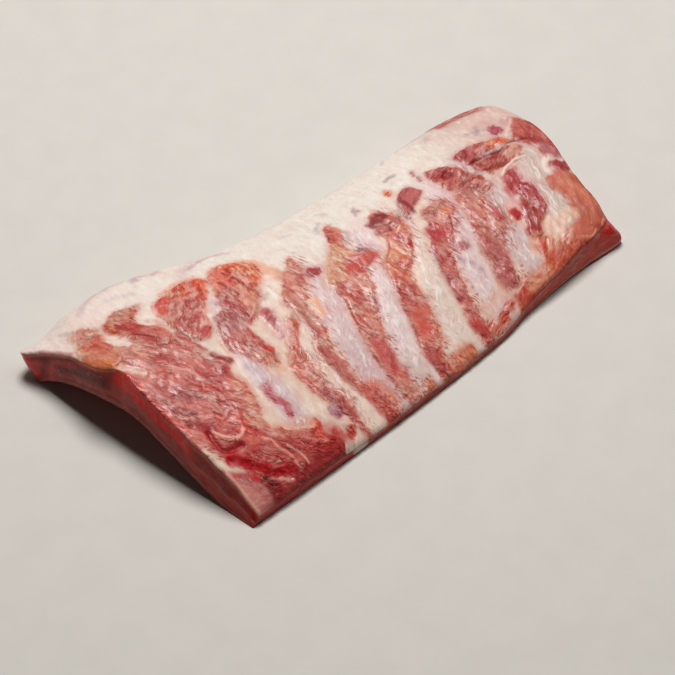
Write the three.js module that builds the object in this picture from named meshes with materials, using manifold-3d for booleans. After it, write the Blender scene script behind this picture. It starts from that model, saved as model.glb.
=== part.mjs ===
// Raw rack of pork ribs, outer side up, arched and resting on its two long edges.
// Millimetres. X runs along the rack from the cut end (-X) to the rounded end (+X), Y runs from the
// thin near edge (-Y) to the fat edge (+Y), Z is up and 0 is the surface the rack rests on.
import * as THREE from "three";
import { mergeVertices } from "three/addons/utils/BufferGeometryUtils.js";
import Module from "manifold-3d";

// Outline seen from above, measured from the near corner of the cut end.
// Each list holds [place, value] pairs; a smooth curve runs through them.
const nearEdge = [[-12, 0], [80, -3], [160, -4], [235, -2], [268, 3], [310, 5], [345, 4], [385, 0]];
const farEdge = [
  [-12, 206], [20, 213], [60, 215], [90, 209], [142, 192], [197, 181], [268, 174], [345, 170], [385, 162],
];
const cutEndTop = [[0, 6], [0.14, 4], [0.28, 1], [0.6, 0], [0.8, -4], [1, -9]];
const cutEndFoot = [[0, 0], [0.25, -3], [0.5, -5], [0.75, -8], [1, -11]];
const roundEnd = [[0, 354], [0.15, 362], [0.32, 366], [0.55, 376], [0.8, 383], [1, 381]];
const cornerReach = 0.16; // part of the length and width taken up by the far corner's rounding
const smallCorner = 0.05; // the same for the near corner of the rounded end

// Heights of the outer side over the resting surface, across the rack from the near edge (0)
// to the far edge (1).
const across = [0, 0.07, 0.15, 0.3, 0.45, 0.6, 0.78, 0.92, 1];
const topAtCutEnd = [10, 20, 30, 40, 48, 54, 43, 29, 14];
const topAtMiddle = [8, 15, 21, 31, 37, 39.5, 35, 26, 12];
const topAtRoundEnd = [20, 25, 28, 32, 35, 36.5, 33, 26, 12];
const middleFrom = 150;
const middleTo = 230;
const roundFrom = 335;

// Hollow under the arch: its height along the rack and its shape across it.
const hollowAlong = [[-12, 29], [90, 24], [190, 19.5], [290, 16], [385, 13]];
const hollowAcross = [
  [0.1, 0], [0.2, 0.2], [0.35, 0.65], [0.5, 1], [0.65, 0.9], [0.8, 0.6], [0.9, 0.2], [0.95, 0],
];
const footBand = 0.1; // both long edges rest on a flat strip
const farFootBand = 0.05;

// Rib bones: width, thickness and how far they stand out of the meat.
const boneWidth = 18;
const boneThickness = 9;
const boneProud = 1.2;
const boneFit = 0.3; // clearance between a bone and its bed
const boneBuried = 6; // how deep the far tip lies under the fat
const tipLength = 22; // length of the far tip that dives under the fat
const bonePower = 3; // 2 would be an ellipse, more is flatter on top
const boneEndFactor = 0.55; // the bone narrows to this at both tips

// Line of each rib bone seen from above, from its near tip to its far tip.
const boneLines = [
  [[73, 16], [74, 46], [78, 74], [86, 100], [97, 128], [110, 154]],
  [[113, 5], [113, 40], [118, 66], [126, 92], [135, 113], [149, 136]],
  [[139, 4], [139, 34], [145, 60], [154, 82], [166, 102], [184, 126]],
  [[167, 4], [171, 28], [179, 46], [189, 64], [202, 86], [216, 116], [223, 136]],
  [[209, 5], [213, 28], [220, 46], [230, 64], [240, 84], [247, 108], [251, 130]],
  [[247, 10], [250, 30], [257, 50], [268, 70], [277, 88], [281, 108], [284, 130]],
  [[289, 14], [292, 38], [300, 58], [309, 76], [314, 96], [316, 116], [320, 134]],
  [[331, 16], [334, 38], [341, 60], [349, 80], [355, 102], [358, 124]],
];

// Mesh fineness.
const stepsAlong = 40;
const stepsAcross = 20;
const boneSteps = 16;
const boneSides = 10;

// Slope-matched curve through a list of [place, value] pairs.
function curve(pairs, place) {
  const last = pairs.length - 1;
  const at = Math.min(Math.max(place, pairs[0][0]), pairs[last][0]);
  let i = 0;
  while (i < last - 1 && at > pairs[i + 1][0]) i += 1;
  const span = pairs[i + 1][0] - pairs[i][0];
  const t = (at - pairs[i][0]) / span;
  const slope = (k) => {
    const a = pairs[Math.max(k - 1, 0)];
    const b = pairs[Math.min(k + 1, last)];
    return (b[1] - a[1]) / (b[0] - a[0]);
  };
  const t2 = t * t;
  const t3 = t2 * t;
  const ends = (2 * t3 - 3 * t2 + 1) * pairs[i][1] + (3 * t2 - 2 * t3) * pairs[i + 1][1];
  const tangents = (t3 - 2 * t2 + t) * slope(i) + (t3 - t2) * slope(i + 1);
  return ends + span * tangents;
}

const ease = (t) => {
  const c = Math.min(Math.max(t, 0), 1);
  return c * c * (3 - 2 * c);
};

// Turns the square corner of the (u, w) grid into a round one that reaches back by `reach`.
function roundCorner(u, w, uEnd, wEnd, reach) {
  const p = (u - Math.abs(uEnd - reach)) / (uEnd ? reach : -reach);
  const q = (w - Math.abs(wEnd - reach)) / (wEnd ? reach : -reach);
  if (p <= 0 || q <= 0) return [u, w];
  const pRound = p * Math.sqrt(1 - (q * q) / 2);
  const qRound = q * Math.sqrt(1 - (p * p) / 2);
  return [
    Math.abs(uEnd - reach) + (uEnd ? reach : -reach) * pRound,
    Math.abs(wEnd - reach) + (wEnd ? reach : -reach) * qRound,
  ];
}

// Place on the outline grid: u runs along the rack, w across it.
function planPoint(u, w, cutEnd) {
  let [a, b] = roundCorner(u, w, 1, 1, cornerReach);
  [a, b] = roundCorner(a, b, 1, 0, smallCorner);
  [a, b] = roundCorner(a, b, 0, 1, smallCorner);
  const start = curve(cutEnd, b);
  const x = start + a * (curve(roundEnd, b) - start);
  const near = curve(nearEdge, x);
  return [x, near + b * (curve(farEdge, x) - near), b];
}

const acrossAt = (x, y) => {
  const near = curve(nearEdge, x);
  return (y - near) / (curve(farEdge, x) - near);
};

const section = (heights, w) => curve(across.map((a, i) => [a, heights[i]]), w);

// Height of the outer side.
function topHeight(x, w) {
  const cutShare = 1 - ease(x / middleFrom);
  const roundShare = ease((x - middleTo) / (roundFrom - middleTo));
  const middleShare = 1 - cutShare - roundShare;
  const ends = cutShare * section(topAtCutEnd, w) + roundShare * section(topAtRoundEnd, w);
  return ends + middleShare * section(topAtMiddle, w);
}

// Height of the inner side, flat at 0 along both long edges.
function footHeight(x, w) {
  if (w <= footBand || w >= 1 - farFootBand) return 0;
  return Math.max(curve(hollowAlong, x) * curve(hollowAcross, w), 0);
}

// Closed solid from two matching grids of points, the first above the second.
function solidBetween(top, foot, rows, columns) {
  const layer = (rows + 1) * (columns + 1);
  const at = (i, j) => i * (columns + 1) + j;
  const faces = [];
  const quad = (a, b, c, d) => faces.push(a, b, c, a, c, d);
  for (let i = 0; i < rows; i += 1) {
    for (let j = 0; j < columns; j += 1) {
      quad(at(i, j), at(i + 1, j), at(i + 1, j + 1), at(i, j + 1));
      quad(layer + at(i, j), layer + at(i, j + 1), layer + at(i + 1, j + 1), layer + at(i + 1, j));
    }
    quad(at(i + 1, 0), at(i, 0), layer + at(i, 0), layer + at(i + 1, 0));
    quad(at(i, columns), at(i + 1, columns), layer + at(i + 1, columns), layer + at(i, columns));
  }
  for (let j = 0; j < columns; j += 1) {
    quad(at(0, j), at(0, j + 1), layer + at(0, j + 1), layer + at(0, j));
    quad(at(rows, j + 1), at(rows, j), layer + at(rows, j), layer + at(rows, j + 1));
  }
  const geometry = new THREE.BufferGeometry();
  geometry.setAttribute("position", new THREE.Float32BufferAttribute([...top, ...foot].flat(), 3));
  geometry.setIndex(faces);
  return geometry;
}

// The whole slab before the bones are let in.
function slabGeometry() {
  const top = [];
  const foot = [];
  for (let i = 0; i <= stepsAlong; i += 1) {
    for (let j = 0; j <= stepsAcross; j += 1) {
      const u = i / stepsAlong;
      const w = j / stepsAcross;
      const [x, y, b] = planPoint(u, w, cutEndTop);
      top.push([x, y, topHeight(x, b)]);
      const [footX, footY, footB] = planPoint(u, w, cutEndFoot);
      foot.push([footX, footY, footHeight(footX, footB)]);
    }
  }
  return solidBetween(top, foot, stepsAlong, stepsAcross);
}

// One rib bone, or with `extra` the bed it lies in.
function boneGeometry(line, extra) {
  const path = new THREE.CatmullRomCurve3(line.map(([x, y]) => new THREE.Vector3(x, y, 0)));
  const length = path.getLength();
  const points = [];
  const rings = boneSteps + 1;
  for (let i = 0; i < rings; i += 1) {
    const t = i / boneSteps;
    const spot = path.getPointAt(t);
    const ahead = path.getTangentAt(t);
    const fromFar = (1 - t) * length;
    const sink = boneBuried * (1 - ease(fromFar / tipLength));
    const tip = Math.min(t, 1 - t) * boneSteps;
    const taper = tip < 2 ? boneEndFactor + (1 - boneEndFactor) * ease(tip / 2) : 1;
    const halfWidth = (boneWidth / 2) * taper + extra;
    const halfHigh = (boneThickness / 2) * taper + extra;
    const level = boneProud - boneThickness / 2 - sink;
    for (let k = 0; k < boneSides; k += 1) {
      const angle = (2 * Math.PI * k) / boneSides;
      const c = Math.cos(angle);
      const s = Math.sin(angle);
      const side = Math.sign(c) * Math.abs(c) ** (2 / bonePower) * halfWidth;
      const rise = Math.sign(s) * Math.abs(s) ** (2 / bonePower) * halfHigh;
      const x = spot.x + ahead.y * side;
      const y = spot.y - ahead.x * side;
      points.push([x, y, topHeight(x, acrossAt(x, y)) + level + rise]);
    }
  }
  const push = (end, way) => {
    const centre = [0, 0, 0];
    for (let k = 0; k < boneSides; k += 1) {
      for (let n = 0; n < 3; n += 1) centre[n] += points[end * boneSides + k][n] / boneSides;
    }
    const ahead = path.getTangentAt(end / boneSteps);
    const reach = boneWidth * 0.12 + extra;
    points.push([centre[0] + way * ahead.x * reach, centre[1] + way * ahead.y * reach, centre[2]]);
  };
  push(0, -1);
  push(boneSteps, 1);
  const faces = [];
  for (let i = 0; i < boneSteps; i += 1) {
    for (let k = 0; k < boneSides; k += 1) {
      const a = i * boneSides + k;
      const b = i * boneSides + ((k + 1) % boneSides);
      faces.push(a, b + boneSides, b, a, a + boneSides, b + boneSides);
    }
  }
  const nearTip = rings * boneSides;
  const lastRing = boneSteps * boneSides;
  for (let k = 0; k < boneSides; k += 1) {
    const next = (k + 1) % boneSides;
    faces.push(nearTip, k, next);
    faces.push(nearTip + 1, lastRing + next, lastRing + k);
  }
  const geometry = new THREE.BufferGeometry();
  geometry.setAttribute("position", new THREE.Float32BufferAttribute(points.flat(), 3));
  geometry.setIndex(faces);
  return geometry;
}

const wasm = await Module();
wasm.setup();

function toSolid(geometry) {
  const bare = geometry.clone();
  bare.deleteAttribute("normal");
  bare.deleteAttribute("uv");
  const merged = mergeVertices(bare, 1e-4);
  return new wasm.Manifold(
    new wasm.Mesh({
      numProp: 3,
      vertProperties: new Float32Array(merged.attributes.position.array),
      triVerts: new Uint32Array(merged.index.array),
    }),
  );
}

function toGeometry(solid) {
  const mesh = solid.getMesh();
  const geometry = new THREE.BufferGeometry();
  geometry.setAttribute("position", new THREE.Float32BufferAttribute(mesh.vertProperties, 3));
  geometry.setIndex(new THREE.Uint32BufferAttribute(mesh.triVerts, 1));
  geometry.computeVertexNormals();
  return geometry;
}

const rack = new THREE.Group();
const slab = slabGeometry();
slab.computeBoundingBox();
const middle = slab.boundingBox.getCenter(new THREE.Vector3());

function addNode(name, geometry, look) {
  const mesh = new THREE.Mesh(geometry, new THREE.MeshStandardMaterial(look));
  mesh.name = name;
  mesh.position.set(-middle.x, -middle.y, 0);
  rack.add(mesh);
}

let meat = toSolid(slab);
boneLines.forEach((line) => {
  meat = meat.subtract(toSolid(boneGeometry(line, boneFit)));
});
addNode("meat", toGeometry(meat), { color: 0xb5524c, roughness: 0.42, metalness: 0 });
boneLines.forEach((line, i) => {
  const look = { color: 0xdccdc8, roughness: 0.38, metalness: 0 };
  addNode("rib_bone_0" + (i + 1), boneGeometry(line, 0), look);
});

export default rack;
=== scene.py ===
import bpy
import numpy as np
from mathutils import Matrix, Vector


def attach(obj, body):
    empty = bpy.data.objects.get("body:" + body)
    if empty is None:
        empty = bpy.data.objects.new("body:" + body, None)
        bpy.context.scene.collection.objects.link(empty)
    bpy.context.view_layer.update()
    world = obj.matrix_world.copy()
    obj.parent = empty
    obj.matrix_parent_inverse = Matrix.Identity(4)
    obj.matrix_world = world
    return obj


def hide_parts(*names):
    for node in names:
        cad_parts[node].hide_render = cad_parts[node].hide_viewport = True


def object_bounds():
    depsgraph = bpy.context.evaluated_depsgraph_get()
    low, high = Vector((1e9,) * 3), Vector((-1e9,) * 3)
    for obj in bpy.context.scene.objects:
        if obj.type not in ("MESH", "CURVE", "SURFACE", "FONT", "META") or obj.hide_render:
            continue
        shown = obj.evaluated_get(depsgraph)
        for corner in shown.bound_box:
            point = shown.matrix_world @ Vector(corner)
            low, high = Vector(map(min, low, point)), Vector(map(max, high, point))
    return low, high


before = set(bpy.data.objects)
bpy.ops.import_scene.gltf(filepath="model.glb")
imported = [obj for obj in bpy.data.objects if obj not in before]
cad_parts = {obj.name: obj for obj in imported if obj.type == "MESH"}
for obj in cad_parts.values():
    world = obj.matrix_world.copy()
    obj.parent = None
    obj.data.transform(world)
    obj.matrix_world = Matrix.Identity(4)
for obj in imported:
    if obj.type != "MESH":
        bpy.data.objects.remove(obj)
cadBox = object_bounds()
print("rack loaded,", len(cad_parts), "nodes")

# The slab in millimetres, measured from the near corner of its cut end.
# Pairs are (place, value) and a smooth curve runs through them.
slab = {
    "nearEdge": [(-12, 0), (80, -3), (160, -4), (235, -2), (268, 3), (310, 5), (345, 4), (385, 0)],
    "farEdge": [(-12, 206), (20, 213), (60, 215), (90, 209), (142, 192), (197, 181), (268, 174), (345, 170),
                (385, 162)],
    "cutTop": [(0, 6), (0.14, 4), (0.28, 1), (0.6, 0), (0.8, -4), (1, -9)],
    "cutFoot": [(0, 0), (0.25, -3), (0.5, -5), (0.75, -8), (1, -11)],
    "roundEnd": [(0, 354), (0.15, 362), (0.32, 366), (0.55, 376), (0.8, 383), (1, 381)],
    "cornerReach": 0.16,
    "smallCorner": 0.05,
    "across": [0, 0.07, 0.15, 0.3, 0.45, 0.6, 0.78, 0.92, 1],
    "topAtCutEnd": [10, 20, 30, 40, 48, 54, 43, 29, 14],
    "topAtMiddle": [8, 15, 21, 31, 37, 39.5, 35, 26, 12],
    "topAtRoundEnd": [20, 25, 28, 32, 35, 36.5, 33, 26, 12],
    "middleFrom": 150,
    "middleTo": 230,
    "roundFrom": 335,
    "hollowAlong": [(-12, 29), (90, 24), (190, 19.5), (290, 16), (385, 13)],
    "hollowAcross": [(0.1, 0), (0.2, 0.2), (0.35, 0.65), (0.5, 1), (0.65, 0.9), (0.8, 0.6), (0.9, 0.2),
                     (0.95, 0)],
    "footBand": 0.1,
    "farFootBand": 0.05,
    # of the cut end
    "rimWobble": [(0, 0), (0.5, 0.4), (0.6, 2.2), (0.66, -2.4), (0.72, -2.6), (0.78, 0), (1, 0)],
    "beakTop": (-8, 7.5),
    "beakFoot": (0, -6),
    "beakSize": 9,
    "farRoll": 6,  # how much fuller the fat edge is near the cut end
    "endSwell": [(0, 0), (0.1, 1), (0.25, 2), (0.42, 4), (0.6, 4), (0.8, 1), (1, 0)],
    "nearSetBack": [(300, 0), (322, 2), (345, 5), (362, 8)],  # of the top rim, by place along
    "tipFoot": (352, 4),
    "tipReach": (12.5, -3),
    # corners whose sides bulge half way up: place of the foot, spread, how far
    "fullCorners": [((364.5, 1), 11, (3, -3)), ((-10, 201), 8, (-2, 2))],
    "cutRounding": 1.6,
    "roundEndRounding": 5,
    "nearRounding": 3,
    "farRounding": 6,
    "sunk": 0.6,  # makes room for the fine relief
    "bulge": (0.5, 2.2, 1.6),  # of the sides: everywhere, more at the rounded end, more at the far side
    "stepsAlong": 340,
    "stepsAcross": 184,
    "wallRows": 14,
}

ribs = {
    "lines": [  # seen from above, near tip first
        [(73, 16), (74, 46), (78, 74), (86, 100), (97, 128), (110, 154)],
        [(113, 5), (113, 40), (118, 66), (126, 92), (135, 113), (149, 136)],
        [(139, 4), (139, 34), (145, 60), (154, 82), (166, 102), (184, 126)],
        [(167, 4), (171, 28), (179, 46), (189, 64), (202, 86), (216, 116), (223, 136)],
        [(209, 5), (213, 28), (220, 46), (230, 64), (240, 84), (247, 108), (251, 130)],
        [(247, 10), (250, 30), (257, 50), (268, 70), (277, 88), (281, 108), (284, 130)],
        [(289, 14), (292, 38), (300, 58), (309, 76), (314, 96), (316, 116), (320, 134)],
        [(331, 16), (334, 38), (341, 60), (349, 80), (355, 102), (358, 124)],
    ],
    "width": 18,
    "thickness": 9,
    "swell": 1.0,  # how far the cover over a rib rises
    "proud": 0.35,  # how far the rib itself shows through it
    "buried": 6,
    "tipLength": 22,
    "power": 3,
    "endFactor": 0.55,
    "taperShare": 0.125,  # of the rib's length
    "capReach": 2,
    "steps": 100,
    "sides": 32,
}


# The tones were typed in, many of them after mean colours measured at named places in the photo.
def tone(red, green, blue):  # from 0 to 255, as linear light
    share = np.array([red, green, blue]) / 255
    return np.where(share <= 0.04045, share / 12.92, ((share + 0.055) / 1.055) ** 2.4)


def ease(t):
    c = np.clip(t, 0, 1)
    return c * c * (3 - 2 * c)


def curve(pairs, place):
    keys = np.array([p[0] for p in pairs], float)
    values = np.array([p[1] for p in pairs], float)
    last = len(keys) - 1
    at = np.clip(np.asarray(place, float), keys[0], keys[-1])
    i = np.clip(np.searchsorted(keys, at) - 1, 0, last - 1)
    before = np.maximum(np.arange(last + 1) - 1, 0)
    after = np.minimum(np.arange(last + 1) + 1, last)
    slopes = (values[after] - values[before]) / (keys[after] - keys[before])
    span = keys[i + 1] - keys[i]
    t = (at - keys[i]) / span
    t2, t3 = t * t, t * t * t
    ends = (2 * t3 - 3 * t2 + 1) * values[i] + (3 * t2 - 2 * t3) * values[i + 1]
    return ends + span * ((t3 - 2 * t2 + t) * slopes[i] + (t3 - t2) * slopes[i + 1])


def softNoise(x, y, size, seed, layers=2):  # smooth noise from -1 to 1 on a lattice of the given size
    rng = np.random.default_rng(seed)
    total = np.zeros(np.shape(x))
    strength = 1.0
    for layer in range(layers):
        cell = size / 2 ** layer
        lattice = rng.uniform(-1, 1, (64, 64))
        gx, gy = x / cell + 100, y / cell + 100
        ix, iy = np.floor(gx).astype(int), np.floor(gy).astype(int)
        fx, fy = ease(gx - ix), ease(gy - iy)
        low = lattice[ix % 64, iy % 64] * (1 - fx) + lattice[(ix + 1) % 64, iy % 64] * fx
        high = lattice[ix % 64, (iy + 1) % 64] * (1 - fx) + lattice[(ix + 1) % 64, (iy + 1) % 64] * fx
        total += strength * (low * (1 - fy) + high * fy)
        strength *= 0.5
    return total / (2 - 2 ** (1 - layers))


def turned(x, y, degrees):  # along and across a direction
    a = np.radians(degrees)
    return x * np.cos(a) + y * np.sin(a), y * np.cos(a) - x * np.sin(a)


def roundCorner(u, w, uEnd, wEnd, reach):
    uStep = reach if uEnd else -reach
    wStep = reach if wEnd else -reach
    p = (u - abs(uEnd - reach)) / uStep
    q = (w - abs(wEnd - reach)) / wStep
    inCorner = (p > 0) & (q > 0)
    newU = abs(uEnd - reach) + uStep * p * np.sqrt(np.clip(1 - q * q / 2, 0, 1))
    newW = abs(wEnd - reach) + wStep * q * np.sqrt(np.clip(1 - p * p / 2, 0, 1))
    return np.where(inCorner, newU, u), np.where(inCorner, newW, w)


def planPoint(u, w, cutEnd):
    a, b = roundCorner(u, w, 1, 1, slab["cornerReach"])
    a, b = roundCorner(a, b, 1, 0, slab["smallCorner"])
    a, b = roundCorner(a, b, 0, 1, slab["smallCorner"])
    start = curve(cutEnd, b)
    x = start + a * (curve(slab["roundEnd"], b) - start)
    near = curve(slab["nearEdge"], x)
    return x, near + b * (curve(slab["farEdge"], x) - near), b


def acrossAt(x, y):
    near = curve(slab["nearEdge"], x)
    return (y - near) / (curve(slab["farEdge"], x) - near)


def topHeight(x, w):
    cutShare = 1 - ease(x / slab["middleFrom"])
    roundShare = ease((x - slab["middleTo"]) / (slab["roundFrom"] - slab["middleTo"]))
    height = cutShare * curve(list(zip(slab["across"], slab["topAtCutEnd"])), w)
    height += roundShare * curve(list(zip(slab["across"], slab["topAtRoundEnd"])), w)
    return height + (1 - cutShare - roundShare) * curve(list(zip(slab["across"], slab["topAtMiddle"])), w)


def footHeight(x, w):
    hollow = np.maximum(curve(slab["hollowAlong"], x) * curve(slab["hollowAcross"], w), 0)
    return np.where((w <= slab["footBand"]) | (w >= 1 - slab["farFootBand"]), 0, hollow)


def stainAndShade(line, width, colour, amount, soft, smooth=0):  # smooth is how far it hides the fibres
    return {"line": line, "width": width, "tone": tone(*colour), "amount": amount, "soft": soft,
            "smooth": smooth}


def mark(line, width, colour):
    return {"line": line, "width": width, "tone": tone(*colour)}


def sinew(line, width, height, colour):
    return {"line": line, "width": width, "height": height, "tone": tone(*colour)}


def crease(line, width, depth, creaseShade):
    return {"line": line, "width": width, "depth": depth, "creaseShade": creaseShade}


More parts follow.
